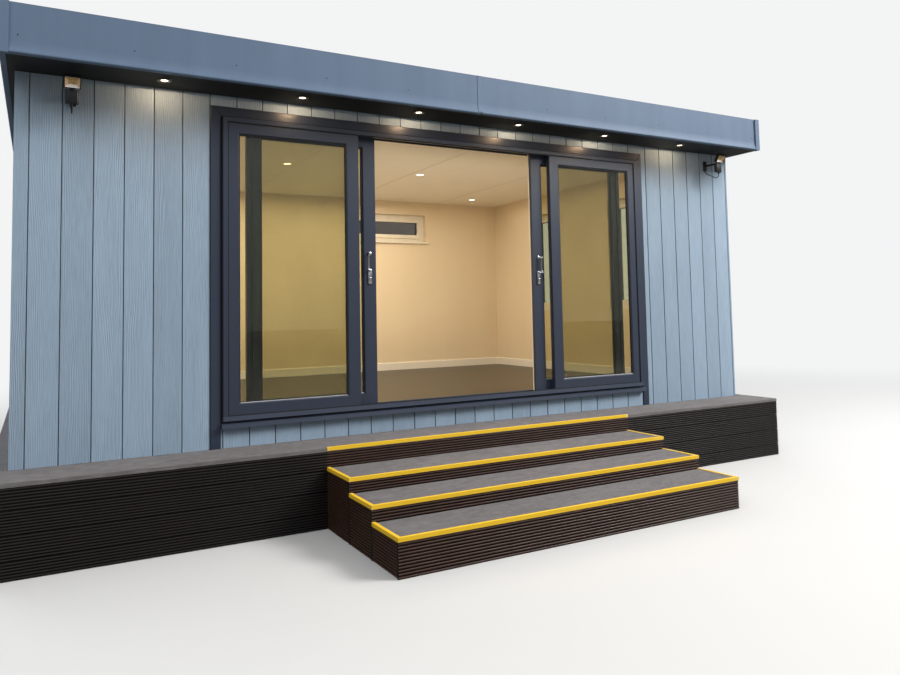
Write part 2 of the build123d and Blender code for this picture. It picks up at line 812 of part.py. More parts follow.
cover_reach = lip_reach + fascia_cover_thickness
cover_plane = Plane(
    origin=(fascia_cover_width / 2, -front_overhang, soffit_z), x_dir=(0, -1, 0), z_dir=(-1, 0, 0)
)
with BuildPart() as joint_cover:
    with BuildSketch(cover_plane):
        with BuildLine():
            Line((0, lip_height), (0, fascia_height))
            TangentArc((0, lip_height), (lip_reach, lip_nose), tangent=(0, -1))
            Line((lip_reach, lip_nose), (cover_reach, lip_nose))
            TangentArc((fascia_cover_thickness, lip_height), (cover_reach, lip_nose), tangent=(0, -1))
            Polyline((fascia_cover_thickness, lip_height), (fascia_cover_thickness, fascia_height),
                     (0, fascia_height))
        make_face()
    extrude(amount=fascia_cover_width)
with BuildPart() as corner_cover:
    with BuildSketch(Plane.XY.offset(soffit_z)):
        with Locations((-roof_half - cover_reach, -front_overhang - cover_reach)):
            Rectangle(fascia_corner_width, fascia_corner_width, align=(Align.MIN, Align.MIN))
        with Locations((-roof_half, -front_overhang)):
            Rectangle(fascia_corner_width, fascia_corner_width,
                      align=(Align.MIN, Align.MIN), mode=Mode.SUBTRACT)
    extrude(amount=fascia_height)
    add(front_board, mode=Mode.SUBTRACT)
    add(side_board, mode=Mode.SUBTRACT)
front_corner = corner_cover.part
middle_plane = Plane.XZ.offset(-(roof_back - front_overhang) / 2)
back_corner = front_corner.mirror(middle_plane)
fascia_covers = Compound(children=[
    joint_cover.part,
    front_corner,
    front_corner.mirror(Plane.YZ),
    back_corner,
    back_corner.mirror(Plane.YZ),
])
save(fascia_covers, "fascia_covers")

soffit_top = soffit_z + soffit_thickness
with BuildPart() as front_soffit:
    add(panel((-roof_inner_half, roof_inner_front, soffit_z), (roof_inner_half, 0, soffit_top)))
    with BuildSketch(Plane.XY.offset(soffit_z)):
        with Locations((0, -soffit_lamp_setback)):
            with GridLocations(soffit_lamp_pitch, 1, soffit_lamp_count, 1):
                RegularPolygon(soffit_lamp_radius, lamp_sides)
    extrude(amount=soffit_thickness, mode=Mode.SUBTRACT)
save(front_soffit.part, "front_soffit")

side_strip = panel((-roof_inner_half, soffit_gap, soffit_z), (-half_width, roof_inner_back, soffit_top))
back_strip = panel(
    (soffit_gap - half_width, pod_depth, soffit_z),
    (half_width - soffit_gap, roof_inner_back, soffit_top),
)
soffit_strips = Compound(children=[side_strip, side_strip.mirror(Plane.YZ), back_strip])
save(soffit_strips, "soffit_strips")


# Recessed lamps: a flat rim under the lining, a body up through it and a sunk lens.
def lamps(level, body_radius, places):
    """Like recessed lamps at the given places."""
    with BuildPart() as group:
        with BuildSketch(Plane.XY.offset(level - lamp_flange)):
            with places:
                RegularPolygon(body_radius + lamp_flange_width, lamp_sides)
                RegularPolygon(body_radius - lamp_lens_lip, lamp_sides, mode=Mode.SUBTRACT)
        extrude(amount=lamp_flange)
        with BuildSketch(Plane.XY.offset(level)):
            with places:
                RegularPolygon(body_radius, lamp_sides)
        extrude(amount=lamp_body_depth)
    return group.part


soffit_lamp_places = GridLocations(soffit_lamp_pitch, 1, soffit_lamp_count, 1)
soffit_lamps = lamps(soffit_z, soffit_lamp_radius, soffit_lamp_places)
save(soffit_lamps.moved(Location((0, -soffit_lamp_setback, 0))), "soffit_lamps")
save(lamps(ceiling_z, ceiling_lamp_radius, Locations(*ceiling_lamp_places)), "ceiling_lamps")

# Floodlights: a plate on the wall, an arm, a sensor below it and a lamp head tilted down above.
flood_x = half_width - flood_inset
flood_z = deck_height + flood_level
plate_front = -flood_plate_depth
arm_end = plate_front - flood_arm_length
sensor_z = flood_z - sensor_drop
sensor_y = arm_end + sensor_setback + sensor_depth / 2
head_z_middle = flood_z + flood_head_rise
with BuildPart() as floodlight:
    with BuildSketch(Plane.XZ):
        with Locations((-flood_x, flood_z)):
            plate = Rectangle(flood_plate_width, flood_plate_height)
        chamfer(plate.vertices(), flood_plate_bevel)
    extrude(amount=flood_plate_depth)
    with BuildSketch(Plane.XZ.offset(flood_plate_depth)):
        with Locations((-flood_x, flood_z)):
            RegularPolygon(flood_arm_radius, flood_sides)
    extrude(amount=flood_arm_length)
    with BuildSketch(Plane.XY.offset(sensor_z - sensor_height / 2)):
        with Locations((-flood_x, sensor_y)):
            box = Rectangle(sensor_width, sensor_depth)
        chamfer(box.vertices(), sensor_bevel)
    extrude(amount=sensor_height)
    with BuildSketch(Plane.XY.offset(sensor_z - sensor_height / 2)):
        with Locations((-flood_x, sensor_y)):
            RegularPolygon(sensor_eye_radius, flood_sides)
    extrude(amount=-sensor_eye_depth, taper=30)
    head_plane = Plane(
        origin=(-flood_x, arm_end, head_z_middle), x_dir=(1, 0, 0), z_dir=(0, -1, 0)
    ).rotated((flood_tilt, 0, 0))
    with BuildSketch(head_plane):
        shade = Rectangle(flood_head_width, flood_head_height)
        chamfer(shade.vertices(), flood_head_bevel)
    extrude(amount=flood_head_depth / 2, both=True)
    lead_start = (plate_front / 2, flood_z - flood_plate_height / 2)
    lead_end = (sensor_y - sensor_depth / 4, sensor_z - sensor_height / 2)
    lead_low = lead_start[1] - lead_sag
    with BuildLine(Plane.YZ.offset(-flood_x)) as lead_line:
        Polyline(
            lead_start,
            (0.96 * lead_start[0] + 0.04 * lead_end[0], lead_start[1] - lead_drop * 2 / 3),
            (0.56 * lead_start[0] + 0.44 * lead_end[0], lead_low + lead_drop),
            (0.18 * lead_start[0] + 0.82 * lead_end[0], lead_low),
            (lead_end[0], lead_end[1] - lead_drop),
            lead_end,
        )
    with BuildSketch(Plane(origin=lead_line.line @ 0, z_dir=lead_line.line % 0)):
        RegularPolygon(lead_radius, 8)
    sweep(path=lead_line.line, transition=Transition.RIGHT)
save(mirrored_pair(floodlight.part), "floodlights")
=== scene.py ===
# %% [markdown]
# # A garden office pod
# The solids of the pod come from the CAD model and are loaded as a fixed frame. What a CAD
# model leaves out is made here: the grooved cladding boards, the ribs of the deck, the seals
# round the glass, the door pulls and the lamps, and above all the finish of every surface.
# Everything is in metres. X runs along the front, Y goes into the room, Z is up.

# %% Load the frame
import json
import math

import bmesh
import bpy
from mathutils import Matrix, Vector

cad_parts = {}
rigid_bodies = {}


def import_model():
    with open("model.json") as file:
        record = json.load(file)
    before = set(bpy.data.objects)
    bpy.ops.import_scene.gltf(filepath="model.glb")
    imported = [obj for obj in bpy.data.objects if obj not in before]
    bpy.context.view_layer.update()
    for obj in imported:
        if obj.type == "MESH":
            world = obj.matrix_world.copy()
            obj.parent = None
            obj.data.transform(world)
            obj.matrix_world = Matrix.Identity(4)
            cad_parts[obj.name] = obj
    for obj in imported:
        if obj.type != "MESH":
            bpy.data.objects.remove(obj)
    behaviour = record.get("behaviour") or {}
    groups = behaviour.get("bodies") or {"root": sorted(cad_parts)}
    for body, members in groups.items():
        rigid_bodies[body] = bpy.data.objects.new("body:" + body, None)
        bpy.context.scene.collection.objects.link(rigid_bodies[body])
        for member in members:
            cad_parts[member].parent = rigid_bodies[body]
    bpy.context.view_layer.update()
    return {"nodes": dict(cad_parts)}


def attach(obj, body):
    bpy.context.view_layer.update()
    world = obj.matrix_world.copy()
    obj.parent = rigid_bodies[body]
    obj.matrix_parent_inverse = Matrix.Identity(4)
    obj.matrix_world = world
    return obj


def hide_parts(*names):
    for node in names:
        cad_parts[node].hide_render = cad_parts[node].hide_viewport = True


bpy.ops.object.select_all(action="SELECT")
bpy.ops.object.delete()
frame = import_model()
nodes = frame["nodes"]

# %% [markdown]
# ## Camera
# The camera comes first, because every shape is judged through it. Its place, turn and lens
# were found from measured corners of the building, so the render can be laid over the
# photograph. The horizon of the picture is level only nearly: the camera rolls by a degree.

# %% Camera at the photograph's angle
lens_mm = 29.65
camera_place = Vector((-2.867, -4.962, 1.364))
turn = (Matrix.Rotation(math.radians(-28.882), 4, "Z")
        @ Matrix.Rotation(math.radians(3.527), 4, "X")
        @ Matrix.Rotation(math.radians(1.110), 4, "Y")
        @ Matrix.Rotation(math.radians(90), 4, "X"))
bpy.ops.object.camera_add()
camera = bpy.context.object
camera.matrix_world = Matrix.Translation(camera_place) @ turn
camera.data.lens = lens_mm
camera.data.shift_x = 0.0038
camera.data.shift_y = -0.0793
camera.data.clip_end = 200
bpy.context.scene.camera = camera
bpy.context.scene.view_settings.view_transform = "Standard"
print("camera at", tuple(camera_place), "lens", lens_mm)

# %% [markdown]
# ## Leads of the floodlights
# A short rubber lead hangs in a loop from each floodlight's wall plate to its sensor box. The
# photograph shows it from end to end. Its route is the same as in the CAD model, here as one
# smooth curve, which a bevel turns into a round lead: a curve bends truly where a chain of
# cylinders would show its joints.

# %% One lead on each side
lead_x, lead_diameter, lead_length = 2.708, 0.007, 0.222
lead_route = [(-0.0090, 2.6585), (-0.0156, 2.6358), (-0.0814, 2.6015),
              (-0.1439, 2.5675), (-0.1735, 2.5870), (-0.1735, 2.6210)]


def hanging_lead(name, x):
    """A curve along the lead's route at this place along the front."""
    curve = bpy.data.curves.new(name, "CURVE")
    curve.dimensions = "3D"
    curve.bevel_depth = lead_diameter / 2
    curve.bevel_resolution = 4
    curve.resolution_u = 8
    line = curve.splines.new("NURBS")
    line.points.add(len(lead_route) - 1)
    for point, (y, z) in zip(line.points, lead_route):
        point.co = (x, y, z, 1.0)
    line.order_u = 3
    line.use_endpoint_u = True
    lead = bpy.data.objects.new(name, curve)
    bpy.context.collection.objects.link(lead)
    return lead


leads = [hanging_lead("left_lead", -lead_x), hanging_lead("right_lead", lead_x)]
print(len(leads), "leads follow", len(lead_route), "points each")

# %% [markdown]
# ## Nodes for the finishes
# A finish is a network of small nodes. The helpers below add one node and wire its inputs in
# one line, so each finish further down reads like a recipe. A socket's name is written with
# underscores for its spaces, and a number is given where two sockets share a name.

# %% Adding one shader node
def feed(tree, node, name, value):
    """Sets an input of a node to a plain value, or wires another node's output to it."""
    socket = node.inputs[int(name[3:])] if name.startswith("no_") else node.inputs[name.replace("_", " ")]
    if isinstance(value, bpy.types.NodeSocket):
        tree.links.new(value, socket)
    else:
        socket.default_value = value


def add_node(tree, kind, options=None, **inputs):
    """Adds a shader node with its options and inputs."""
    made = tree.nodes.new("ShaderNode" + kind)
    for name, value in (options or {}).items():
        setattr(made, name, value)
    for name, value in inputs.items():
        feed(tree, made, name, value)
    return made


# %% Numbers, noise and colours
def calc(tree, operation, *values):
    """One Math node; its output is returned."""
    inputs = {f"no_{index}": value for index, value in enumerate(values)}
    return add_node(tree, "Math", {"operation": operation}, **inputs).outputs[0]


def product(tree, first, *others):
    """Several numbers multiplied."""
    for value in others:
        first = calc(tree, "MULTIPLY", first, value)
    return first


def noise(tree, place_of, scale, detail, roughness=0.5):
    """A cloudy number between 0 and 1."""
    return add_node(tree, "TexNoise", Vector=place_of, Scale=scale, Detail=detail,
                    Roughness=roughness).outputs[0]


def paint(red, green, blue):
    """The linear colour of three values read from a picture, 0 to 255."""
    linear = [((v / 255 + 0.055) / 1.055) ** 2.4 if v > 10 else v / 255 / 12.92 for v in (red, green, blue)]
    return (*linear, 1.0)


def blend(tree, share, first, second):
    """From one colour to another by a share."""
    return add_node(tree, "Mix", {"data_type": "RGBA"}, no_0=share, no_6=first, no_7=second).outputs[2]


def toned(tree, colour, tone):
    """A colour made darker or lighter by a number."""
    grey = add_node(tree, "CombineColor", Red=tone, Green=tone, Blue=tone).outputs[0]
    return add_node(tree, "Mix", {"data_type": "RGBA", "blend_type": "MULTIPLY"}, no_0=1.0, no_6=colour,
                    no_7=grey).outputs[2]


# %% Node groups
def new_group(name, inputs, outputs):
    """An empty group: its inputs are numbers, or a place where the value is None, its outputs numbers."""
    tree = bpy.data.node_groups.new(name, "ShaderNodeTree")
    for socket, value in inputs.items():
        kind = "NodeSocketVector" if value is None else "NodeSocketFloat"
        made = tree.interface.new_socket(socket, in_out="INPUT", socket_type=kind)
        if value is not None:
            made.default_value = value
    for socket in outputs:
        tree.interface.new_socket(socket, in_out="OUTPUT", socket_type="NodeSocketFloat")
    print("group", name)
    return tree, tree.nodes.new("NodeGroupInput").outputs, tree.nodes.new("NodeGroupOutput").inputs


def use_group(tree, group, **inputs):
    """Places a group in a material with its own values; its outputs are returned."""
    return add_node(tree, "Group", {"node_tree": group}, **inputs).outputs


# %% Materials
def new_finish(name, **settings):
    """A material with one Principled shader: the material, its tree, its shader and its coordinates."""
    material = bpy.data.materials.new(name)
    material.use_nodes = True
    tree = material.node_tree
    shader = tree.nodes["Principled BSDF"]
    for socket, value in settings.items():
        feed(tree, shader, socket, value)
    print("finish", name)
    return material, tree, shader, tree.nodes.new("ShaderNodeTexCoord").outputs["Object"]


def coat(tree, shader, colour, gloss=None, relief=None):
    """Wires a colour, a roughness as (number, least, most) and a relief as (height, strength, depth)."""
    feed(tree, shader, "Base Color", colour)
    if gloss:
        number, least, most = gloss
        spread = add_node(tree, "MapRange", Value=number, To_Min=least, To_Max=most)
        feed(tree, shader, "Roughness", spread.outputs[0])
    if relief:
        height, strength, depth = relief
        bump = add_node(tree, "Bump", Strength=strength, Distance=depth, Height=height)
        feed(tree, shader, "Normal", bump.outputs[0])


def dress(finish, *names):
    """Gives CAD nodes a finish."""
    for name in names:
        nodes[name].data.materials.clear()
        nodes[name].data.materials.append(finish)


# %% [markdown]
# ## Effects that several finishes share
# Paint on a real building is never one colour: it is a little darker here and lighter there,
# and rain leaves faint vertical streaks. One group makes that tone for every outdoor finish,
# each with its own strength. A second group makes the running grain of wood and of boards
# that imitate wood, stretched along the board. A third numbers the boards of a wall, so that
# each board gets grain and tone of its own.

# %% The weathered tone group
weather, given, result = new_group("weathered_tone", {"Place": None, "Scale": 1.0, "Amount": 0.1}, ["Tone"])
clouds = noise(weather, given["Place"], given["Scale"], 5.0, 0.6)
long_way = add_node(weather, "VectorMath", {"operation": "MULTIPLY"}, no_0=given["Place"],
                    no_1=(9.0, 9.0, 0.7))
streaks = noise(weather, long_way.outputs[0], given["Scale"], 3.0)
centred = calc(weather, "SUBTRACT", calc(weather, "ADD", clouds, streaks), 1.0)
scaled = calc(weather, "MULTIPLY", centred, given["Amount"])
weather.links.new(calc(weather, "ADD", scaled, 1.0), result["Tone"])


def weathered(tree, place_of, scale, amount):
    """The weathered tone in a material."""
    return use_group(tree, weather, Place=place_of, Scale=scale, Amount=amount)["Tone"]


# %% The running grain group
full_turn = 6.2832
grain, given, result = new_group(
    "running_grain", {"Across": 0.0, "Along": 0.0, "Seed": 0.0, "Pitch": 0.006, "Wander": 0.012},
    ["Height", "Shade"])
across, along = given["Across"], given["Along"]
own_place = product(grain, given["Seed"], 3.17)
strand = add_node(grain, "CombineXYZ", X=across, Y=product(grain, along, 0.16), Z=own_place)
swirl = noise(grain, strand.outputs[0], 7.0, 2.0, 0.45)
sway = product(grain, calc(grain, "SUBTRACT", swirl, 0.5), 7.0, given["Wander"])
moved = calc(grain, "ADD", across, sway)
turns = calc(grain, "DIVIDE", moved, given["Pitch"])
ridge = calc(grain, "SINE", product(grain, turns, full_turn))
fine_place = add_node(grain, "CombineXYZ", X=product(grain, moved, 300.0), Y=product(grain, along, 7.0),
                      Z=own_place)
fibre = noise(grain, fine_place.outputs[0], 1.0, 3.0, 0.6)
patch_place = add_node(grain, "CombineXYZ", X=product(grain, across, 14.0), Y=product(grain, along, 1.6),
                       Z=own_place)
patches = noise(grain, patch_place.outputs[0], 1.0, 2.0)
strength = add_node(grain, "MapRange", Value=patches, From_Min=0.38, From_Max=0.62)
height = calc(grain, "ADD", product(grain, ridge, strength.outputs[0], 0.35), product(grain, fibre, 0.9))
grain.links.new(height, result["Height"])
shade = add_node(grain, "MapRange", Value=height, From_Min=0.05, From_Max=0.85, To_Min=0.72, To_Max=1.17)
grain.links.new(shade.outputs[0], result["Shade"])

# %% The board number group
layout, given, result = new_group(
    "board_number", {"Across": 0.0, "First": 0.0, "Width": 0.15, "Joint Width": 0.004},
    ["Board", "Tone", "Joint"])
shifted = calc(layout, "SUBTRACT", given["Across"], given["First"])
steps_across = calc(layout, "DIVIDE", shifted, given["Width"])
board = calc(layout, "FLOOR", steps_across)
from_middle = calc(layout, "ABSOLUTE", calc(layout, "SUBTRACT", calc(layout, "FRACT", steps_across), 0.5))
from_joint = product(layout, calc(layout, "SUBTRACT", 0.5, from_middle), given["Width"])
joint = add_node(layout, "MapRange", Value=from_joint, From_Min=product(layout, given["Joint Width"], 0.5),
                 From_Max=given["Joint Width"], To_Min=1.0, To_Max=0.0)
layout.links.new(joint.outputs[0], result["Joint"])
layout.links.new(board, result["Board"])
chance = add_node(layout, "TexWhiteNoise", {"noise_dimensions": "1D"}, W=board)
tone = add_node(layout, "MapRange", Value=chance.outputs["Value"], To_Min=0.93, To_Max=1.06)
layout.links.new(tone.outputs[0], result["Tone"])

# %% [markdown]
# ## Modelling helpers
# New pieces start as a block or a cylinder at its size and place. Edges and faces are then
# picked in code by where they are and which way they run, and bevelled, inset or extruded, as
# one would do by hand in edit mode. What repeats is modelled once and copied, each copy with
# a mesh of its own.

# %% Blocks and cylinders
def select_only(*pieces):
    """Selects these pieces and nothing else; the first is active."""
    bpy.ops.object.select_all(action="DESELECT")
    for piece in pieces:
        piece.select_set(True)
    bpy.context.view_layer.objects.active = pieces[0]


def settle(piece, name=None):
    """Puts a piece's place, turn and size into its mesh."""
    select_only(piece)
    bpy.ops.object.transform_apply(location=True, rotation=True, scale=True)
    piece.name = name or piece.name
    return piece


def block(name, low, high):
    """A block between two corners."""
    bpy.ops.object.select_all(action="DESELECT")
    middle = [(a + b) / 2 for a, b in zip(low, high)]
    bpy.ops.mesh.primitive_cube_add(size=1, location=middle, scale=[b - a for a, b in zip(low, high)])
    return settle(bpy.context.object, name)


def round_piece(name, radius, low, high, sides=24):
    """An upright cylinder between two heights, about the Z axis."""
    bpy.ops.object.select_all(action="DESELECT")
    bpy.ops.mesh.primitive_cylinder_add(vertices=sides, radius=radius, depth=high - low,
                                        location=(0, 0, (low + high) / 2))
    return settle(bpy.context.object, name)


# %% Picking in edit mode, and bevels
def pick(piece, kind, chosen):
    """Opens a piece in edit mode with the edges or faces selected for which chosen() is true."""
    select_only(piece)
    bpy.ops.object.mode_set(mode="EDIT")
    bpy.ops.mesh.select_mode(type=kind)
    bpy.ops.mesh.select_all(action="DESELECT")
    mesh = bmesh.from_edit_mesh(piece.data)
    for element in mesh.edges if kind == "EDGE" else mesh.faces:
        if chosen(element):
            element.select_set(True)
    bmesh.update_edit_mesh(piece.data)


def bevel_edges(piece, chosen, width, segments=1):
    """Bevels the edges for which chosen(middle, direction) is true."""
    def fits(edge):
        start, end = (corner.co for corner in edge.verts)
        return chosen((start + end) / 2, (end - start).normalized())

    pick(piece, "EDGE", fits)
    bpy.ops.mesh.bevel(offset=width, segments=segments, affect="EDGES")
    bpy.ops.object.mode_set(mode="OBJECT")
    return piece


def soften(piece, width, segments=2):
    """Rounds all the sharp edges of a piece with a bevel, and shades it smooth."""
    select_only(piece)
    rounding = piece.modifiers.new("rounding", "BEVEL")
    rounding.width = width
    rounding.segments = segments
    rounding.limit_method = "ANGLE"
    rounding.angle_limit = math.radians(30)
    bpy.ops.object.modifier_apply(modifier=rounding.name)
    bpy.ops.object.shade_smooth_by_angle(angle=math.radians(40))
    return piece


# %% Joining, placing and repeating
def join(first, *others):
    """Makes several pieces one, named as the first."""
    if others:
        select_only(first, *others)
        bpy.ops.object.join()
    return first


def place(piece, angle=0.0, shift=(0, 0, 0)):
    """Turns a piece about the upright axis and moves it."""
    piece.rotation_euler = (0, 0, math.radians(angle))
    piece.location = shift
    return settle(piece)


def turn_to(piece, direction, shift):
    """Turns a piece made about the Z axis so that it points along direction, and moves it."""
    piece.rotation_mode = "QUATERNION"
    piece.rotation_quaternion = Vector(direction).to_track_quat("Z", "Y")
    piece.location = shift
    return settle(piece)


def repeat(piece, shifts):
    """Puts a copy of the piece at each shift and joins the copies; the pattern piece goes."""
    twins = []
    for shift in shifts:
        twin = piece.copy()
        twin.data = piece.data.copy()
        twin.location = Vector(shift)
        bpy.context.collection.objects.link(twin)
        twins.append(twin)
    bpy.data.objects.remove(piece)
    return settle(join(*twins))


# %% Naming a finished piece
def finish_piece(piece, name, finish, body="pod", stands_for=None):
    """Names a piece, gives it its finish and body, and says which CAD node it stands for."""
    piece.name = name
    piece.data.name = name
    if finish:
        piece.data.materials.clear()
        piece.data.materials.append(finish)
    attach(piece, body)
    if stands_for:
        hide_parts(stands_for)
    print(name, len(piece.data.polygons), "faces")
    return piece


# %% [markdown]
# ## Cladding finish
# The boards are cement or resin boards moulded with a wood grain and painted a blue grey.
# The grain is raised, so it shows as fine running lines where light grazes it. It is a bump,
# since a ridge is a fraction of a millimetre; the grooves between boards are real geometry.

# %% Cladding paint, for boards side by side along X or along Y
board_cover = 0.173
first_groove, right_groove, sill_groove, side_groove = -2.927, 2.466, -0.2535, 0.09
cladding_blue = paint(139, 158, 176)


def cladding_paint(name, along_y, first):
    """Blue grey paint over moulded grain, on upright boards with a joint at first."""
    material, tree, shader, place_of = new_finish(name, Specular_IOR_Level=0.35)
    axes = add_node(tree, "SeparateXYZ", Vector=place_of).outputs
    across = axes["Y" if along_y else "X"]
    boards = use_group(tree, layout, Across=across, First=first, Width=board_cover, Joint_Width=0.0034)
    lines = use_group(tree, grain, Across=across, Along=axes["Z"], Seed=boards["Board"], Pitch=0.0085,
                      Wander=0.010)
    # The joint mask darkens the bottom of each groove almost to black: partly dirt in the joint, partly
    # painted shade in the groove.
    groove = add_node(tree, "MapRange", Value=boards["Joint"], To_Min=1.0, To_Max=0.04).outputs[0]
    tone = product(tree, boards["Tone"], weathered(tree, place_of, 1.3, 0.16), lines["Shade"], groove)
    coat(tree, shader, toned(tree, cladding_blue, tone), (lines["Height"], 0.62, 0.48),
         (lines["Height"], 0.75, 0.0020))
    return material


cladding_front = cladding_paint("cladding_front", False, first_groove)
cladding_right = cladding_paint("cladding_front_right", False, right_groove)
cladding_sill = cladding_paint("cladding_sill", False, sill_groove)
cladding_side = cladding_paint("cladding_side", True, side_groove)

# %% [markdown]
# ## Cladding boards
# Each board is one block whose two long front edges are bevelled; side by side they make the
# V grooves. One board is modelled, copied along the wall, and the row is cut to the wall's
# ends with bisect, which is cleaner on a plain row than a Boolean. Boards stand 5 mm in front
# of the wall core. Windows need a hole inside the row, so there a Boolean does the cut.

# %% A row of boards along a wall, made facing -Y
board_proud, board_gap = 0.005, 0.0003
groove_half, behind_boards = 0.0048, 0.0006
wall_foot, wall_head = 0.510, 2.827


def cut(piece, point, normal):
    """Cuts away what lies beyond a plane, on the side its normal points to, and closes the cut."""
    select_only(piece)
    bpy.ops.object.mode_set(mode="EDIT")
    bpy.ops.mesh.select_all(action="SELECT")
    bpy.ops.mesh.bisect(plane_co=point, plane_no=normal, use_fill=True, clear_outer=True)
    bpy.ops.object.mode_set(mode="OBJECT")


def board_row(start, end, groove, low=wall_foot, high=wall_head):
    """Upright boards from start to end, with a groove at the given place."""
    first = groove - math.ceil((groove - start) / board_cover) * board_cover
    row = block("board", (first, -board_proud, low), (first + board_cover - board_gap, behind_boards, high))
    bevel_edges(row, lambda middle, way: abs(way.z) > 0.9 and middle.y < -board_proud / 2, groove_half)
    count = math.ceil((end - first) / board_cover)
    row = repeat(row, [(number * board_cover, 0, 0) for number in range(count)])
    cut(row, (start, 0, 0), (-1, 0, 0))
    cut(row, (end, 0, 0), (1, 0, 0))
    return row


def window_hole(row, left, right, foot, head):
    """Cuts an opening through a row of boards."""
    cutter = block("cutter", (left, -0.1, foot), (right, 0.1, head))
    select_only(row)
    hole = row.modifiers.new("hole", "BOOLEAN")
    hole.object = cutter
    hole.solver = "EXACT"
    bpy.ops.object.modifier_apply(modifier=hole.name)
    bpy.data.objects.remove(cutter)


# %% Front boards
pod_half, pod_depth = 3.000, 4.100
corner = pod_half + board_proud
trim_edge, trim_head, trim_foot = 1.880, 2.750, 0.636
under_door = board_row(-trim_edge, trim_edge, sill_groove, high=trim_foot)
finish_piece(under_door, "sill_cladding", cladding_sill)
front_cladding = join(board_row(-corner, -trim_edge, first_groove),
                      board_row(-trim_edge, trim_edge, first_groove, low=trim_head))
finish_piece(front_cladding, "front_cladding", cladding_front)
finish_piece(board_row(trim_edge, corner, right_groove), "right_front_cladding", cladding_right)

# %% Side and back boards
left_side = place(board_row(-pod_depth, 0.0, -side_groove), -90, (-pod_half, 0, 0))
finish_piece(left_side, "left_cladding", cladding_side)

window_half, window_foot, window_head = 0.275, 1.360, 2.600
right_side = board_row(0.0, pod_depth, side_groove)
for middle_y in (1.300, 2.800):
    window_hole(right_side, middle_y - window_half, middle_y + window_half, window_foot, window_head)
place(right_side, 90, (pod_half, 0, 0))
finish_piece(right_side, "right_cladding", cladding_side)

slot_window = (-1.7345, -0.6295, 2.310, 2.675)
back_side = board_row(-corner, corner, -first_groove - 34 * board_cover)
window_hole(back_side, *slot_window)
place(back_side, 180, (0, pod_depth, 0))
finish_piece(back_side, "back_cladding", cladding_front)

# %% [markdown]
# ## Wall cores and lining
# Behind the boards the wall core is only seen from the room, where it carries a cream
# painted lining. The paint is matt with the faint orange peel a roller leaves, far too fine
# to model, so a noise drives a bump.

# %% Cream lining
def lining_paint(name, colour):
    """Matt wall paint with roller texture."""
    material, tree, shader, place_of = new_finish(name, Roughness=0.62, Specular_IOR_Level=0.3)
    coat(tree, shader, toned(tree, colour, weathered(tree, place_of, 0.7, 0.05)),
         relief=(noise(tree, place_of, 420.0, 2.0), 0.12, 0.0006))
    return material


cream_lining = lining_paint("cream_lining", paint(226, 208, 178))
ceiling_white = lining_paint("ceiling_white", paint(244, 236, 222))
dress(cream_lining, "front_wall_left", "front_wall_right", "front_wall_header", "front_wall_sill",
      "left_wall", "right_wall", "back_wall")
dress(ceiling_white, "ceiling_panel")

# %% [markdown]
# ## Roof edge
# The fascia boards are smooth moulded boards painted a darker slate blue, with a rounded foot
# that catches the light. The CAD solids have that flared shape, so they keep their place and
# only get a paint, with soft streaks where rain runs down. Small dark screws hold them.

# %% Fascia paint, soffit and membrane
def plain_paint(name, colour, roughness, scale, amount, grain_scale, depth, specular=0.4):
    """Satin paint with an uneven tone and a faint texture."""
    material, tree, shader, place_of = new_finish(name, Roughness=roughness, Specular_IOR_Level=specular)
    speck = noise(tree, place_of, grain_scale, 4.0, 0.6)
    coat(tree, shader, toned(tree, colour, weathered(tree, place_of, scale, amount)),
         (speck, roughness + 0.12, roughness - 0.12), (speck, 0.25, depth))
    return material


fascia_paint = plain_paint("fascia_paint", paint(92, 109, 131), 0.55, 1.1, 0.22, 90.0, 0.0006, 0.2)
soffit_board = plain_paint("soffit_board", paint(13, 13, 13), 0.65, 2.0, 0.25, 160.0, 0.0005)
roof_membrane = plain_paint("roof_membrane_rubber", paint(72, 76, 80), 0.7, 0.8, 0.35, 40.0, 0.0015)
raw_timber = plain_paint("raw_timber", paint(150, 122, 88), 0.75, 3.0, 0.4, 60.0, 0.001)
dress(fascia_paint, "front_fascia", "side_fascias", "back_fascia", "fascia_covers")
dress(soffit_board, "front_soffit", "soffit_strips")
dress(roof_membrane, "roof_membrane")
dress(raw_timber, "roof_panel", "base_frame", "floor_cassette", "support_posts")

# %% Fascia screws
screw_paint = plain_paint("screw_paint", paint(38, 44, 54), 0.35, 30.0, 0.2, 300.0, 0.0002)
screw_z = 2.935
along_x = [(x, 0, screw_z) for x in (-2.984, -2.387, -1.794, -1.198, -0.594, 0.613, 1.212, 1.802, 2.389,
                                     2.984)]
along_y = [(0, y, screw_z) for y in (0.12, 0.72, 1.32, 1.92, 2.52, 3.12, 3.72)]
rows = []
for outward, face, shifts in (((0, -1, 0), (0, -0.3328, 0), along_x), ((0, 1, 0), (0, 4.1648, 0), along_x),
                              ((1, 0, 0), (3.0648, 0, 0), along_y), ((-1, 0, 0), (-3.0648, 0, 0), along_y)):
    screw = turn_to(round_piece("screw", 0.0045, 0.0, 0.0018, 10), outward, face)
    if outward[1] < 0:
        bevel_edges(screw, lambda middle, way: middle.y < -0.334, 0.001)
    rows.append(repeat(screw, shifts))
finish_piece(join(*rows), "fascia_screws", screw_paint)

# %% [markdown]
# ## Composite boards
# The deck, treads, risers and skirts are boards pressed from wood flour and plastic. Their
# face is ribbed: fine ribs on what is walked on, coarse ones on the upright faces. Ribs a few
# millimetres deep show at the edges and in the light, so they are modelled: one rib, repeated.

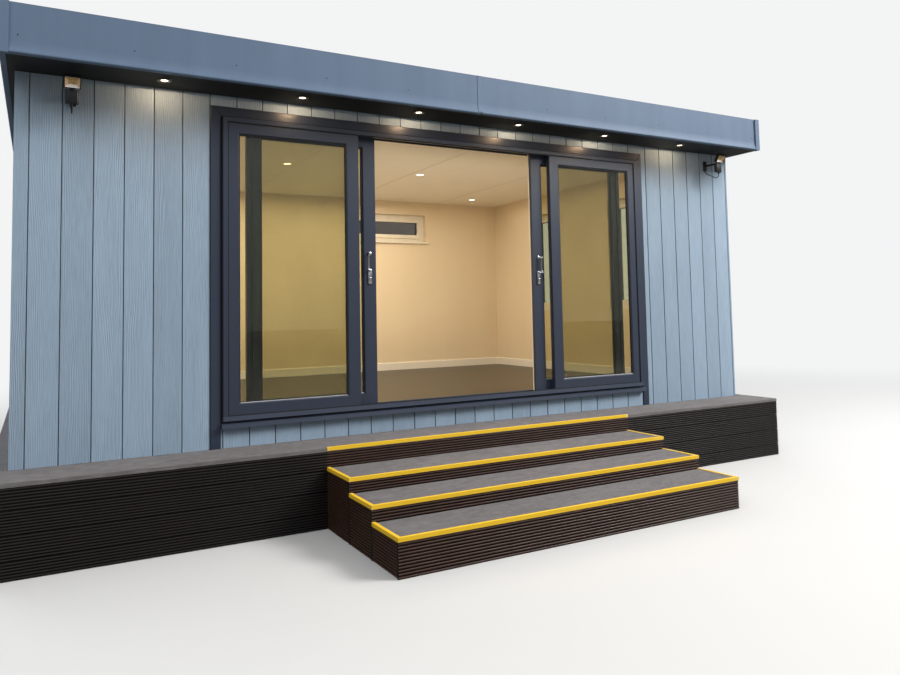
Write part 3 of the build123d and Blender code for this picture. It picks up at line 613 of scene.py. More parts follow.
# %% Composite finishes
def composite(name, crest, groove_colour, along_y, rough, specular):
    """Composite board: brushed fibres along the board, with an uneven tone."""
    material, tree, shader, place_of = new_finish(name, Roughness=rough, Specular_IOR_Level=specular)
    axes = add_node(tree, "SeparateXYZ", Vector=place_of).outputs
    run, other = (axes["Y"], axes["X"]) if along_y else (axes["X"], axes["Y"])
    side = calc(tree, "ADD", axes["Z"], other)
    stretched = add_node(tree, "CombineXYZ", X=product(tree, run, 12.0), Y=product(tree, side, 700.0),
                         Z=axes["Z"])
    brushed = noise(tree, stretched.outputs[0], 1.0, 3.0, 0.6)
    share = add_node(tree, "MapRange", Value=brushed, From_Min=0.3, From_Max=0.7).outputs[0]
    colour = blend(tree, share, groove_colour, crest)
    coat(tree, shader, toned(tree, colour, weathered(tree, place_of, 2.2, 0.45)),
         relief=(brushed, 0.4, 0.0008))
    return material


board_finish = {}
# Skirt and riser are the same composite board: the skirt colours are a darker copy, painted shade, and the
# riser colours a lighter copy, painted light.
for part, colours, rough, specular in (("deck", (paint(120, 116, 116), paint(76, 73, 73)), 0.7, 0.3),
                                       ("skirt", (paint(27, 19, 14), paint(13, 9, 7)), 0.40, 0.4),
                                       ("riser", (paint(74, 45, 32), paint(40, 24, 17)), 0.40, 0.4),
                                       ("valley", (paint(12, 10, 9), paint(6, 5, 4)), 0.8, 0.3)):
    for ending, runs_along_y in (("", False), ("_side", True)):
        board_finish[part + ending] = composite(part + "_composite" + ending, *colours, runs_along_y, rough,
                                                specular)
# Skirt pairs carry the painted shade copy and riser pairs the painted light copy, each with the near-black
# valley finish.
shaded_along_front = (board_finish["skirt"], board_finish["valley"])
shaded_along_side = (board_finish["skirt_side"], board_finish["valley_side"])
lit_riser_front = (board_finish["riser"], board_finish["valley"])
riser_side = (board_finish["riser_side"], board_finish["valley_side"])
dress(board_finish["deck"], "front_deck", "step_treads")
dress(board_finish["deck_side"], "deck_edge_boards")
dress(board_finish["skirt"], "front_skirts", "back_skirt", "deck_riser", "step_carcass")
dress(board_finish["skirt_side"], "side_skirts")

# %% [markdown]
# ## Ribbed skirts and risers
# A skirt is four courses of ribbed board, one above the other, with a narrow gap
# between courses. The course is made lying along X and facing -Y: a back board with a row of
# ribs, each rib a block with its front edges bevelled round. The CAD skirt is a plain board of
# the same size; the ribbed one stands for it, its crests where the plain face was.

# %% One ribbed board facing -Y
rib_pitch, rib_depth, rib_round = 0.0168, 0.006, 0.0035
rib_foot, rib_head = 0.24, 0.76
board_thick = 0.022


def ribbed_board(start, end, low, high, face, crest, valley):
    """A board from start to end in X and low to high in Z, ribs towards -Y, crests at face."""
    back = block("back", (start, face + rib_depth, low), (end, face + board_thick, high))
    count = max(1, round((high - low) / rib_pitch))
    pitch = (high - low) / count
    rib = block("rib", (start, face, low + rib_foot * pitch),
                (end, face + rib_depth + 0.001, low + rib_head * pitch))
    bevel_edges(rib, lambda middle, way: abs(way.x) > 0.9 and middle.y < face + 0.001, rib_round, 3)
    ribs = repeat(rib, [(0, 0, number * pitch) for number in range(count)])
    # The back board between the ribs takes the valley finish: near black, painted shade in the hollows
    # between the ribs.
    back.data.materials.append(valley)
    ribs.data.materials.append(crest)
    return join(back, ribs)


def courses(start, end, face, finishes):
    """Ribbed boards between the levels of the skirt, a gap under each."""
    levels = (0.485, 0.364, 0.233, 0.100, 0.0)
    return join(*[ribbed_board(start, end, low + 0.003, high - 0.001, face, *finishes)
                  for low, high in zip(levels[1:], levels)])


# %% Skirts round the base
deck_half, deck_front, deck_back, deck_top = 3.107, -0.378, 4.207, 0.510
skirt_x, skirt_y = 3.085, 4.185
step_left, step_right = -1.2355, 1.2995
front_skirts = join(courses(-deck_half, step_left, deck_front, shaded_along_front),
                    courses(step_right, deck_half, deck_front, shaded_along_front))
finish_piece(front_skirts, "front_skirt_boards", None, stands_for="front_skirts")

back_skirt = place(courses(-deck_half, deck_half, -board_thick, shaded_along_front), 180, (0, skirt_y, 0))
finish_piece(back_skirt, "back_skirt_boards", None, stands_for="back_skirt")

inner_front = deck_front + board_thick
side_skirts = join(place(courses(inner_front, skirt_y, -board_thick, shaded_along_side), 90, (skirt_x, 0, 0)),
                   place(courses(-skirt_y, -inner_front, -board_thick, shaded_along_side), -90, (-skirt_x, 0, 0)))
finish_piece(side_skirts, "side_skirt_boards", None, stands_for="side_skirts")

# %% [markdown]
# ## Steps and deck
# The steps are boxes faced with the same ribbed board, topped with finely ribbed treads. The
# risers and the steps' ends replace the CAD carcass; the deck and tread boards replace the
# plain CAD boards, their ribs' tops where the plain face was.

# %% Risers and step ends
step_tops = (0.386, 0.2985, 0.209)
step_fronts = (-0.757, -1.096, -1.438)
steps = list(zip(step_tops, step_fronts, (deck_front, *step_fronts)))
deck_riser = courses(step_left, step_right, deck_front, lit_riser_front)
finish_piece(deck_riser, "deck_riser_boards", None, stands_for="deck_riser")

step_risers = join(*[ribbed_board(step_left, step_right, 0.0, top - board_thick, front, *lit_riser_front)
                     for top, front, _ in steps])
finish_piece(step_risers, "step_risers", None, stands_for="step_carcass")

ends = []
for top, front, back in steps:
    for angle, x, start, end in ((90, step_right - board_thick, front + board_thick, back),
                                 (-90, step_left + board_thick, -back, -front - board_thick)):
        step_end = ribbed_board(start, end, 0.0, top - board_thick, -board_thick, *riser_side)
        ends.append(place(step_end, angle, (x, 0, 0)))
finish_piece(join(*ends), "step_ends", None)

# %% Finely ribbed boards to walk on
fine_pitch, fine_depth = 0.0062, 0.0014
between_boards, deck_thick = 0.004, 0.025


def walking_boards(start, end, front, back, top, thickness, count):
    """Boards along X side by side between front and back, finely ribbed on top, ribs' tops at top."""
    cover = (back - front) / count
    width = cover - between_boards
    body = block("body", (start, front, top - thickness), (end, front + width, top - fine_depth))
    bevel_edges(body, lambda middle, way: abs(way.x) > 0.9 and middle.z > top - 0.5 * thickness, 0.002, 2)
    ribs = int((width - 0.006) / fine_pitch)
    rib_front = front + (width - ribs * fine_pitch) / 2
    rib = block("rib", (start, rib_front + 0.0012, top - fine_depth - 0.0005),
                (end, rib_front + fine_pitch - 0.0012, top))
    bevel_edges(rib, lambda middle, way: abs(way.x) > 0.9 and middle.z > top - 0.0005, 0.0008)
    ribs_made = repeat(rib, [(0, number * fine_pitch, 0) for number in range(ribs)])
    return repeat(join(body, ribs_made), [(0, number * cover, 0) for number in range(count)])


# %% Deck, treads and edge boards
deck_boards = walking_boards(-deck_half, deck_half, deck_front, 0.0, deck_top, deck_thick, 3)
finish_piece(deck_boards, "front_deck_boards", board_finish["deck"], stands_for="front_deck")

treads = join(*[walking_boards(step_left, step_right, front, back, top, board_thick, 3)
                for top, front, back in steps])
finish_piece(treads, "tread_boards", board_finish["deck"], stands_for="step_treads")

edge = (deck_top, deck_thick, 1)
overhang = deck_half - pod_half
edge_boards = join(
    place(walking_boards(0.0, pod_depth, -overhang, 0.0, *edge), 90, (pod_half, 0, 0)),
    place(walking_boards(-pod_depth, 0.0, -overhang, 0.0, *edge), -90, (-pod_half, 0, 0)),
    walking_boards(-deck_half, deck_half, pod_depth, deck_back, *edge))
finish_piece(edge_boards, "edge_boards", board_finish["deck_side"],
             stands_for="deck_edge_boards")

# %% [markdown]
# ## Step nosings
# Yellow glass-fibre angles with grit pressed into them mark the step edges. Shoes have worn
# the yellow paler on top, and most at the ends. The CAD angles have the right shape, so they
# get the finish only: a noise for the wear and a much finer one for the grit.

# %% Nosing finish
nosing_yellow, tree, shader, place_of = new_finish("nosing_yellow", Specular_IOR_Level=0.3)
across_step = add_node(tree, "SeparateXYZ", Vector=place_of).outputs["X"]
near_end = product(tree, calc(tree, "SUBTRACT", calc(tree, "ABSOLUTE", across_step), 1.22), 2.0)
worn = calc(tree, "ADD", noise(tree, place_of, 9.0, 6.0, 0.7), near_end)
wear = add_node(tree, "MapRange", Value=worn, From_Min=0.55, From_Max=0.85, To_Min=0.0, To_Max=0.8)
grit = noise(tree, place_of, 900.0, 1.0)
coat(tree, shader, blend(tree, wear.outputs[0], paint(222, 180, 38), paint(214, 200, 150)),
     (grit, 0.9, 0.5), (grit, 0.5, 0.0008))
dress(nosing_yellow, "deck_nosing", "step_nosings")

# %% [markdown]
# ## Door set
# Frames, sashes and trims are plastic sections covered with a foil in anthracite, with an
# embossed grain so fine that it only breaks up the gloss. Indoors the sections are white, so
# the foil's colour changes at a plane inside the section. Black rubber holds the glass. The
# foil is satin, so Fresnel does most of the work.

# %% Anthracite foil and black rubber
foil_dark, foil_white = paint(41, 49, 65), paint(226, 219, 204)
nowhere = (1e3, 2e3)


def foil(name, axis="Y", white=nowhere, dark=foil_dark):
    """Satin foil on a plastic section, finely embossed; white between two places along an axis."""
    material, tree, shader, place_of = new_finish(name, Specular_IOR_Level=0.5)
    along_axis = add_node(tree, "SeparateXYZ", Vector=place_of).outputs[axis]
    indoors = product(tree, calc(tree, "GREATER_THAN", along_axis, white[0]),
                      calc(tree, "LESS_THAN", along_axis, white[1]))
    two_tone = blend(tree, indoors, dark, foil_white)
    emboss = noise(tree, place_of, 650.0, 3.0, 0.7)
    coat(tree, shader, toned(tree, two_tone, weathered(tree, place_of, 1.8, 0.14)),
         (emboss, 0.30, 0.46), (emboss, 0.15, 0.0004))
    return material


dress(foil("anthracite_foil"), "door_trim_left", "door_trim_right", "door_trim_top", "door_head")
# The cill gets a lighter copy of the anthracite foil: painted light for its sky-facing top.
dress(foil("lit_cill_foil", dark=paint(58, 66, 82)), "door_cill")
dress(foil("door_frame_foil", "Y", (0.086, 1.0)), "door_jambs")
dress(foil("fixed_sash_foil", "Y", (0.0187, 0.0194)), "fixed_sashes")
dress(foil("leaf_foil", "Y", (0.062, 1.0)), "left_leaf_sash", "right_leaf_sash")
dress(foil("side_window_foil", "X", (0.0, 2.955)), "right_window_frames")
dress(foil("window_white", "Y", (0.0, 10.0)), "back_window_frame", "back_window_board")
rubber = plain_paint("black_rubber", paint(22, 22, 24), 0.6, 6.0, 0.3, 500.0, 0.0003)
# A pale grey for the strip at each pane's foot: partly the glazing spacer, partly a painted highlight on the
# bead.
spacer_and_highlight_grey = plain_paint("spacer_and_highlight_paint", paint(176, 178, 180), 0.7, 8.0, 0.3, 700.0, 0.0004)

# %% Glass
def pane_glass(name, clean, dusty):
    """Double glazing with an uneven tint, a painted view of the trees seen in the glass."""
    material, tree, shader, place_of = new_finish(name, Transmission_Weight=1.0, IOR=1.45, Roughness=0.0)
    coat(tree, shader, blend(tree, noise(tree, place_of, 3.0, 4.0, 0.7), clean, dusty))
    return material


# Door and side panes: a yellow-green tint, painted reflection of green trees. Back pane: near black, a
# painted view of the dark trees behind it.
painted_reflection_glass = pane_glass("painted_reflection_glass", (0.63, 0.63, 0.48, 1), (0.70, 0.70, 0.56, 1))
painted_dark_view_glass = pane_glass("painted_dark_view_glass", (0.09, 0.08, 0.07, 1), (0.13, 0.12, 0.11, 1))
dress(painted_dark_view_glass, "back_window_glass")
dress(painted_reflection_glass, "fixed_glass", "left_leaf_glass", "right_leaf_glass", "right_window_glass")

# %% [markdown]
# ## Glazing rubber
# A black rubber line runs round each pane, between the bevelled bead and the glass, and a
# pale strip runs along its foot: partly the spacer of the double glazing, partly a painted
# highlight on the bead. The rubber is a ring: a block whose front and back faces are inset,
# and the two inset faces bridged, which opens the middle in one step.

# %% A square ring in the plane of the door
def ring(name, left, right, foot, head, front, back, width):
    """A frame of square section facing -Y."""
    piece = block(name, (left, front, foot), (right, back, head))
    pick(piece, "FACE", lambda face: abs(face.normal.y) > 0.9)
    bpy.ops.mesh.inset(thickness=width, use_even_offset=True)
    bpy.ops.mesh.bridge_edge_loops()
    bpy.ops.mesh.select_all(action="SELECT")
    bpy.ops.mesh.normals_make_consistent(inside=False)
    bpy.ops.object.mode_set(mode="OBJECT")
    return piece


# %% Rubber round the door panes
rubber_width, rubber_depth = 0.0065, 0.0020
fixed_pane = (-1.705, -0.947, 0.793, 2.575)
leaf_pane = (-1.546, -0.803, 0.793, 2.575)


def mirrored(pane):
    """The pane on the other side of the door: left, right, foot and head."""
    left, right, foot, head = pane
    return -right, -left, foot, head


def glaze(panes, glass_front, glass_back, rubber_name, line_name, body="pod"):
    """Rubber on both faces of each pane, and a pale strip at its foot: the spacer and a painted highlight.
    """
    rings, lines = [], []
    for left, right, foot, head in panes:
        lines.append(block("line", (left + 0.006, glass_front - 0.0026, foot + 0.0005),
                           (right - 0.006, glass_front - 0.0004, foot + 0.0052)))
        for face in (glass_front - 0.0016, glass_back - 0.0004):
            rings.append(ring("rubber", left, right, foot, head, face, face + rubber_depth, rubber_width))
    finish_piece(join(*lines), line_name, spacer_and_highlight_grey, body)
    finish_piece(join(*rings), rubber_name, rubber, body)


fixed_glass_faces, leaf_glass_faces = (-0.015, 0.009), (0.041, 0.065)
glaze([fixed_pane, mirrored(fixed_pane)], *fixed_glass_faces, "fixed_rubber", "fixed_bead_lines")
glaze([leaf_pane], *leaf_glass_faces, "left_leaf_rubber", "left_leaf_bead_line", "left_leaf")
glaze([mirrored(leaf_pane)], *leaf_glass_faces, "right_leaf_rubber", "right_leaf_bead_line", "right_leaf")

# %% Black rings between trim, frame and fixed sash: partly rubber seals, partly painted shade in the shadow gaps
frame_seal_and_shade = ring("frame_seal_and_shade", -1.8235, 1.8235, 0.672, 2.6885, -0.0030, 0.0004, 0.0125)
sash_seal_and_shade = ring("sash_seal_and_shade", -1.7825, 1.7825, 0.7125, 2.6555, -0.0268, -0.0245, 0.0085)
finish_piece(join(frame_seal_and_shade, sash_seal_and_shade), "seals_and_painted_shadow_gaps", rubber)

# %% [markdown]
# ## Door pulls
# Each sliding leaf has a chrome pull on both faces: a flat plate with a key cylinder, and above
# it a D shaped bow that stands away from the opening, its upper foot in a small rose. The bow
# is a round bar: a disc extruded and spun round its corners, which gives true bends.

# %% Chrome
chrome, tree, shader, place_of = new_finish("chrome", Metallic=1.0)
smear = noise(tree, place_of, 55.0, 4.0, 0.6)
coat(tree, shader, blend(tree, smear, paint(214, 214, 212), paint(190, 192, 194)), (smear, 0.08, 0.26))

# %% The bow: a bar with two round corners
bow_foot, bow_top = 1.673, 1.798
bow_radius, bow_bend = 0.0065, 0.015


def push(offset):
    """Extrudes what is selected in edit mode by an offset."""
    bpy.ops.mesh.extrude_region_move(TRANSFORM_OT_translate={"value": offset})


def bow_bar(foot, out, length):
    """A D shaped bar from foot, standing away along out, going up by length and back in."""
    away = Vector(out).normalized()
    upright = Vector((0, 0, 1))
    arm = away * (Vector(out).length - bow_bend)
    bpy.ops.object.select_all(action="DESELECT")
    bpy.ops.mesh.primitive_circle_add(vertices=16, radius=bow_radius, fill_type="NGON")
    bar = turn_to(bpy.context.object, away, foot)
    bpy.ops.object.mode_set(mode="EDIT")
    bpy.ops.mesh.select_all(action="SELECT")
    push(arm)
    centre = Vector(foot) + arm + upright * bow_bend
    bpy.ops.mesh.spin(steps=6, angle=math.pi / 2, center=centre, axis=away.cross(upright))
    push(upright * (length - 2 * bow_bend))
    centre += upright * (length - 2 * bow_bend)
    bpy.ops.mesh.spin(steps=6, angle=math.pi / 2, center=centre, axis=away.cross(upright))
    push(-arm)
    bpy.ops.mesh.select_all(action="SELECT")
    bpy.ops.mesh.remove_doubles(threshold=0.00005)
    bpy.ops.mesh.normals_make_consistent(inside=False)
    bpy.ops.object.mode_set(mode="OBJECT")
    bpy.ops.object.shade_smooth_by_angle(angle=math.radians(40))
    return bar


# %% One pull, then four
pull_x, plate_z, keyhole_z = 0.753, 1.631, 1.617
leaf_front, leaf_back = 0.031, 0.075


def door_pull(side, face_y, out):
    """A pull on the lock stile; side is -1 on the left leaf, out is -1 outdoors."""
    x = side * pull_x
    low_y, high_y = sorted((face_y - out * 0.0005, face_y + out * 0.009))
    plate = block("plate", (x - 0.016, low_y, plate_z - 0.054), (x + 0.016, high_y, plate_z + 0.054))
    bevel_edges(plate, lambda middle, way: abs(way.y) > 0.9, 0.010, 4)
    pieces = [soften(plate, 0.002)]
    for radius, depth, sides, z, rounding in ((0.0085, 0.016, 24, keyhole_z, 0.001),
                                              (0.0135, 0.009, 28, bow_top, 0.002),
                                              (0.0115, 0.0125, 28, bow_foot, 0.0015)):
        boss = turn_to(round_piece("boss", radius, 0.0, depth, sides), (0, out, 0), (x, face_y, z))
        pieces.append(soften(boss, rounding))
    low_y, high_y = sorted((face_y + out * 0.0159, face_y + out * 0.0163))
    keyway = block("keyway", (x - 0.0009, low_y, keyhole_z - 0.005), (x + 0.0009, high_y, keyhole_z + 0.005))
    bow = bow_bar((x, face_y + out * 0.004, bow_foot), (side * 0.036, out * 0.044, 0), bow_top - bow_foot)
    return join(*pieces, keyway, bow)


for side, body in ((-1, "left_leaf"), (1, "right_leaf")):
    pulls = join(door_pull(side, leaf_front, -1), door_pull(side, leaf_back, 1))
    finish_piece(pulls, body + "_pulls", chrome, body, stands_for=body + "_handle")

# %% Rollers
roller_nylon = plain_paint("roller_nylon", paint(150, 150, 146), 0.4, 20.0, 0.3, 300.0, 0.0002)
dress(roller_nylon, "left_leaf_rollers", "right_leaf_rollers")

# %% [markdown]
# ## Lamps
# Small recessed lamps light the soffit and the ceiling. A lamp is a turned ring with a sunk
# lens; the lens glows a warm white. One lamp is shaped by insets and an extrusion and copied
# to each place.

# %% Lamp finishes
lamp_metal = plain_paint("lamp_metal", paint(70, 66, 60), 0.4, 20.0, 0.15, 300.0, 0.0001)
lamp_white = plain_paint("lamp_white", paint(226, 222, 212), 0.4, 20.0, 0.1, 300.0, 0.0001)
lens_glow, tree, shader, place_of = new_finish("lens_glow", Roughness=0.3, Emission_Strength=6.0)
cells = add_node(tree, "TexVoronoi", Vector=place_of, Scale=120.0)
facets = add_node(tree, "MapRange", Value=cells.outputs[0], From_Max=0.6, To_Min=1.0, To_Max=0.75)
warm_white = toned(tree, (1.0, 0.86, 0.66, 1), facets.outputs[0])
coat(tree, shader, warm_white)
feed(tree, shader, "Emission Color", warm_white)

# %% A recessed lamp
def recessed_lamp(radius, rim_radius, level):
    """A ring under a ceiling at the given level, about the Z axis, with a lens inside it."""
    rim = round_piece("rim", rim_radius, level - 0.004, level + 0.008, 40)
    pick(rim, "FACE", lambda face: face.normal.z < -0.9)
    bpy.ops.mesh.inset(thickness=rim_radius - radius + 0.001)
    push((0, 0, 0.006))
    bpy.ops.mesh.inset(thickness=0.004)
    bpy.ops.object.mode_set(mode="OBJECT")
    lens = round_piece("lens", radius - 0.002, level + 0.0005, level + 0.0025, 32)
    return soften(rim, 0.0008), soften(lens, 0.0006)


def lamp_group(name, places, radius, rim_radius, level, metal):
    """A lamp at each place. The rims stand for the CAD lamps."""
    rim, lens = recessed_lamp(radius, rim_radius, level)
    finish_piece(repeat(rim, places), name + "_lamp_rims", metal, stands_for=name + "_lamps")
    finish_piece(repeat(lens, places), name + "_lamp_lenses", lens_glow)


# %% Lamps in the soffit and in the ceiling
soffit_places = [(x, -0.186, 0) for x in (-2.20, -1.32, -0.44, 0.44, 1.32, 2.20)]
room_middle, ceiling_level = 2.12, 2.849
ceiling_places = [(x, room_middle, 0) for x in (-0.735, 0.735)]
ceiling_places += [(x, room_middle + y, 0) for x in (-2.187, 2.187) for y in (-1.346, 1.346)]
lamp_group("soffit", soffit_places, 0.025, 0.042, wall_head, lamp_metal)
lamp_group("ceiling", ceiling_places, 0.042, 0.052, ceiling_level, lamp_white)

# %% [markdown]
# ## Floodlights
# At each front corner a small black floodlight with a sensor box sits on a wall plate. Its
# lamp head is a shallow box open to the front, with a bright reflector sunk in it, tilted
# down to the steps. Blocks with bevelled corners make the housing, and the head is hollowed
# by an inset and an extrusion, so its rim is real.

# %% Floodlight finishes
flood_black = plain_paint("flood_black", paint(13, 13, 14), 0.4, 12.0, 0.3, 260.0, 0.0003)


def reflector_metal(name, bright, dull, metallic):
    """Dimpled reflector sheet; the dish takes three copies of it, painted lit and shaded by face."""
    material, tree, shader, place_of = new_finish(name, Metallic=metallic)
    dimple = add_node(tree, "TexVoronoi", Vector=place_of, Scale=90.0).outputs[0]
    coat(tree, shader, blend(tree, dimple, bright, dull), (dimple, 0.3, 0.5))
    return material


# One reflector sheet in three copies: the back in painted shade, the sides in painted light, the upward foot
# a painted highlight.
lit_and_shaded_reflector_sheets = (reflector_metal("reflector_back_shade", paint(214, 182, 128), paint(150, 120, 70), 0.3),
                    reflector_metal("reflector_side_light", paint(244, 214, 176), paint(214, 178, 136), 0.1),
                    reflector_metal("reflector_foot_highlight", paint(252, 250, 244), paint(240, 236, 226), 0.0))

# %% The tilted lamp head
flood_x, flood_z, sensor_foot, head_y, head_z = 2.708, 2.705, 2.621, -0.194, 2.748
tilt = math.radians(31)


def tilted(piece, x):
    """Tips a piece made about the world's centre forward, and moves it to the lamp head."""
    piece.rotation_euler = (tilt, 0, 0)
    piece.location = (x, head_y, head_z)
    return settle(piece)


def hollow(piece, rim, depth, shrink):
    """Sinks the front face inside a rim and narrows it towards its foot."""
    pick(piece, "FACE", lambda face: face.normal.y < -0.9)
    bpy.ops.mesh.inset(thickness=rim)
    push((0, depth, 0))
    bpy.ops.transform.resize(value=shrink)
    bpy.ops.object.mode_set(mode="OBJECT")


def lamp_head(x):
    """The hollow head with its cooling fins."""
    head = block("head", (-0.046, -0.017, -0.038), (0.046, 0.017, 0.038))
    hollow(head, 0.005, 0.020, (0.72, 1, 0.62))
    fin = soften(block("fin", (-0.040, 0.015, -0.030), (-0.0375, 0.021, 0.030)), 0.0008)
    fins = repeat(fin, [(0.0094 * number, 0, 0) for number in range(9)])
    return join(tilted(soften(head, 0.0025), x), tilted(fins, x))


def reflector_dish(x):
    """The sloping sides and back inside the lamp head: the foot a painted highlight, the sides painted
    light, the back painted shade.
    """
    dish = block("dish", (-0.0400, -0.0150, -0.0320), (0.0400, 0.0040, 0.0270))
    for sheet in lit_and_shaded_reflector_sheets:
        dish.data.materials.append(sheet)
    hollow(dish, 0.0006, 0.016, (0.55, 1, 0.45))
    # Faces turned up take the painted highlight, faces turned sideways the painted light, the back the
    # painted shade.
    for face in dish.data.polygons:
        face.material_index = 2 if face.normal.z > 0.4 else 1 if abs(face.normal.x) > 0.3 else 0
    return tilted(dish, x)


# %% Housing, arm and sensor box
def strain_relief(x, start, onward):
    """A tapered sleeve on the lead, from the housing on along the lead's first stretch."""
    bpy.ops.object.select_all(action="DESELECT")
    bpy.ops.mesh.primitive_cone_add(vertices=20, radius1=0.0062, radius2=0.0040, depth=0.020,
                                    location=(0, 0, 0.010))
    sleeve = settle(bpy.context.object)
    return turn_to(sleeve, (0, onward[0] - start[0], onward[1] - start[1]), (x, start[0], start[1] + 0.001))


def floodlight(x):
    """Housing parts in black at this place along the front."""
    plate = block("plate", (x - 0.020, -0.018, flood_z - 0.0465), (x + 0.020, -0.004, flood_z + 0.0465))
    bevel_edges(plate, lambda middle, way: abs(way.y) > 0.9, 0.008, 4)
    soften(plate, 0.003)
    arm = turn_to(round_piece("arm", 0.009, 0.0, 0.166, 20), (0, -1, 0), (x, -0.016, flood_z))
    sensor = block("sensor", (x - 0.035, -0.182, sensor_foot), (x + 0.035, -0.148, flood_z))
    bevel_edges(sensor, lambda middle, way: abs(way.z) > 0.9, 0.010, 5)
    soften(sensor, 0.003, 3)
    eye = soften(round_piece("eye", 0.010, -0.011, 0.003, 28), 0.005, 4)
    place(eye, 0, (x + 0.012, -0.160, sensor_foot))
    neck = soften(block("neck", (x - 0.013, -0.184, 2.692), (x + 0.013, -0.160, 2.722)), 0.004)
    sleeves = [strain_relief(x, *route[:2]) for route in (lead_route, lead_route[::-1])]
    return join(plate, arm, sensor, eye, lamp_head(x), neck, *sleeves)


# %% Both floodlights and their leads
housings = join(floodlight(-flood_x), floodlight(flood_x))
finish_piece(housings, "floodlight_housings", flood_black, stands_for="floodlights")
for lead in leads:
    lead.data.materials.append(rubber)
    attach(lead, "pod")
    start = tuple(lead.data.splines[0].points[0].co)[:3]
dishes = join(reflector_dish(-flood_x), reflector_dish(flood_x))
finish_piece(dishes, "floodlight_reflectors", None)

# %% [markdown]
# ## Room
# Through the open door one sees a bright room: laminate floor in planks, a white skirting
# board, flat ceiling boards with narrow joint strips, and a high window in the back wall. The
# planks are flat and their joints hairlines, so the node groups draw them; boards and strips
# stand proud and are blocks.

# %% Laminate floor
plank_first, plank_width = 0.15, 0.19
laminate, tree, shader, place_of = new_finish("laminate", Specular_IOR_Level=0.5)
axes = add_node(tree, "SeparateXYZ", Vector=place_of).outputs
planks = use_group(tree, layout, Across=axes["Y"], First=plank_first, Width=plank_width)
lines = use_group(tree, grain, Across=axes["Y"], Along=axes["X"], Seed=planks["Board"], Pitch=0.011,
                  Wander=0.014)
from_first = calc(tree, "SUBTRACT", axes["Y"], plank_first)
inside_plank = calc(tree, "FRACT", calc(tree, "DIVIDE", from_first, plank_width))
joint = add_node(tree, "MapRange", Value=inside_plank, From_Min=0.0, From_Max=0.016, To_Min=0.45, To_Max=1.0)
tone = product(tree, planks["Tone"], lines["Shade"], joint.outputs[0])
coat(tree, shader, toned(tree, paint(48, 46, 40), tone), (lines["Height"], 0.42, 0.28),
     (lines["Height"], 0.2, 0.0005))
dress(laminate, "room_floor")

# %% Skirting boards and ceiling strips
white_trim = plain_paint("white_trim", paint(232, 226, 214), 0.4, 3.0, 0.06, 200.0, 0.0002)
floor_top, room_half, room_front, room_back = 0.617, 2.85, 0.15, 3.95
skirting_height = 0.095


def skirting(length):
    """A skirting board along X from 0 to length, facing -Y, its top edge moulded."""
    board_made = block("skirting", (0, -0.015, floor_top), (length, 0.0, floor_top + skirting_height))
    return bevel_edges(board_made, lambda middle, way: abs(way.x) > 0.9 and middle.y < -0.01
                       and middle.z > floor_top + 0.08, 0.008, 3)


skirtings = join(place(skirting(2 * room_half), 0, (-room_half, room_back, 0)),
                 place(skirting(room_back - room_front), 90, (-room_half, room_front, 0)),
                 place(skirting(room_back - room_front), -90, (room_half, room_back, 0)))
finish_piece(skirtings, "skirting_boards", white_trim)

strip = block("strip", (-0.0125, room_front, ceiling_level - 0.0035),
              (0.0125, room_back, ceiling_level + 0.0005))
bevel_edges(strip, lambda middle, way: abs(way.y) > 0.9 and middle.z < ceiling_level - 0.003, 0.0015)
strips = repeat(strip, [(x, 0, 0) for x in (-1.9, -0.633, 0.633, 1.9)])
finish_piece(strips, "ceiling_strips", white_trim)

# %% [markdown]
# ## Floor, light and backdrop
# The pod stands on a plain pale floor in soft light from a pale sky. One large lamp from the
# front right gives the faces their shape, weaker ones fill the left and the back, and warm
# ones in the room stand for the light that its own lamps give. Camera rays see a plain pale
# backdrop; other rays see a dimmer floor and sky, so that nothing is lit too much.

# %% Floor
backdrop_colour = (0.90, 0.905, 0.91, 1)
bpy.ops.object.select_all(action="DESELECT")
bpy.ops.mesh.primitive_plane_add(size=120, location=(0, 0, 0))
floor = bpy.context.object
floor.name = "studio_floor"
floor_paint = plain_paint("studio_floor", paint(198, 197, 195), 0.8, 0.2, 0.02, 30.0, 0.0002)
floor.data.materials.append(floor_paint)
tree = floor_paint.node_tree
place_of = tree.nodes.new("ShaderNodeTexCoord").outputs["Object"]
away = add_node(tree, "VectorMath", {"operation": "LENGTH"}, no_0=place_of).outputs["Value"]
far = add_node(tree, "MapRange", {"interpolation_type": "SMOOTHSTEP"}, Value=away, From_Min=5.0,
               From_Max=14.0)
backdrop = add_node(tree, "Emission", Color=backdrop_colour)
seen_floor = add_node(tree, "MixShader", no_0=far.outputs[0], no_1=tree.nodes["Principled BSDF"].outputs[0],
                      no_2=backdrop.outputs[0])
dim_floor = add_node(tree, "BsdfDiffuse", Color=paint(128, 125, 120))
camera_ray = tree.nodes.new("ShaderNodeLightPath").outputs["Is Camera Ray"]
whole = add_node(tree, "MixShader", no_0=camera_ray, no_1=dim_floor.outputs[0], no_2=seen_floor.outputs[0])
feed(tree, tree.nodes["Material Output"], "Surface", whole.outputs[0])

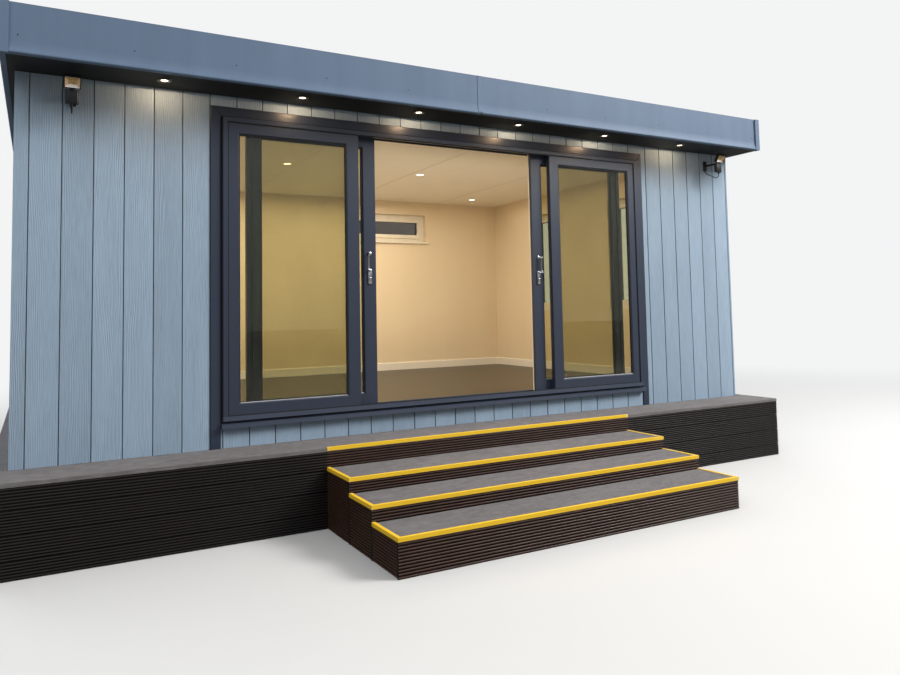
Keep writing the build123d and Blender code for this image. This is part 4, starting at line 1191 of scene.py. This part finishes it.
# %% World
world = bpy.data.worlds.new("soft_sky")
bpy.context.scene.world = world
world.use_nodes = True
sky = world.node_tree
direction = sky.nodes.new("ShaderNodeTexCoord").outputs["Generated"]
upward = add_node(sky, "SeparateXYZ", Vector=direction).outputs["Z"]
overhead = add_node(sky, "MapRange", Value=upward, From_Min=0.05, From_Max=0.6, To_Min=0.30, To_Max=0.88)
rise = add_node(sky, "MapRange", Value=upward, From_Min=0.05, From_Max=0.55, To_Min=0.16, To_Max=0.95)
layers = sky.nodes["Background"]
feed(sky, layers, "Color", (0.88, 0.90, 0.93, 1))
feed(sky, layers, "Strength", overhead.outputs[0])
mirrored_sky = add_node(sky, "Background", Color=(0.84, 0.90, 1.0, 1), Strength=rise.outputs[0])
shown = add_node(sky, "Background", Color=backdrop_colour)
ray = sky.nodes.new("ShaderNodeLightPath").outputs
for mark, layer in (("Is Glossy Ray", mirrored_sky), ("Is Transmission Ray", shown),
                    ("Is Camera Ray", shown)):
    layers = add_node(sky, "MixShader", no_0=ray[mark], no_1=layers.outputs[0], no_2=layer.outputs[0])
feed(sky, sky.nodes["World Output"], "Surface", layers.outputs[0])
print("world", world.name)

# %% Lamps of the studio
def area_lamp(name, place_at, target, size, power, tint):
    """A large soft lamp that looks at a point."""
    bpy.ops.object.light_add(type="AREA", location=place_at)
    lamp = bpy.context.object
    lamp.name = name
    lamp.data.shape = "RECTANGLE"
    lamp.data.size, lamp.data.size_y = size
    lamp.data.energy = power
    lamp.data.color = tint
    lamp.rotation_mode = "QUATERNION"
    lamp.rotation_quaternion = (Vector(target) - Vector(place_at)).to_track_quat("-Z", "Y")
    return lamp


area_lamp("key", (8.0, -6.5, 8.4), (1.5, 0, 1.2), (5, 5), 1850, (1.0, 0.985, 0.96))
area_lamp("fill", (-8.0, -6.0, 9.5), (-1.5, 0, 1.2), (6, 6), 440, (0.95, 0.98, 1.0))
area_lamp("rim", (-8.0, 11.0, 6.0), (0, 3.0, 1.2), (6, 6), 500, (0.95, 0.98, 1.0))
room_lamps = [area_lamp("room_left", (-0.4, 2.1, 2.80), (-0.4, 2.1, 0), (3.4, 3.0), 100, (1.0, 0.89, 0.72)),
              area_lamp("room_back", (0.7, 0.9, 1.5), (0.5, 4.0, 1.6), (2.4, 1.0), 12, (1.0, 0.88, 0.70)),
              area_lamp("room_right", (1.4, 2.0, 2.80), (1.4, 2.0, 0), (2.6, 3.0), 17, (1.0, 0.89, 0.72)),
              area_lamp("room_low", (0, 2.0, 0.9), (0, 2.0, 2.8), (3.4, 3.0), 13, (1.0, 0.82, 0.56))]
for lamp in room_lamps:
    lamp.visible_camera = lamp.visible_glossy = lamp.visible_transmission = False
print(3 + len(room_lamps), "studio lamps")

# %% The soffit lamps' own pools of light
under_lens = 2.8190
for x, y, _ in soffit_places:
    bpy.ops.object.light_add(type="SPOT", location=(x, y, under_lens))
    pool = bpy.context.object
    pool.name = "pool"
    pool.data.energy = 3.2
    pool.data.color = (1.0, 0.68, 0.40)
    pool.data.spot_size = math.radians(180)
    pool.data.spot_blend = 0.04
    pool.data.shadow_soft_size = 0.012
    pool.visible_camera = False
print(len(soffit_places), "pools of light")
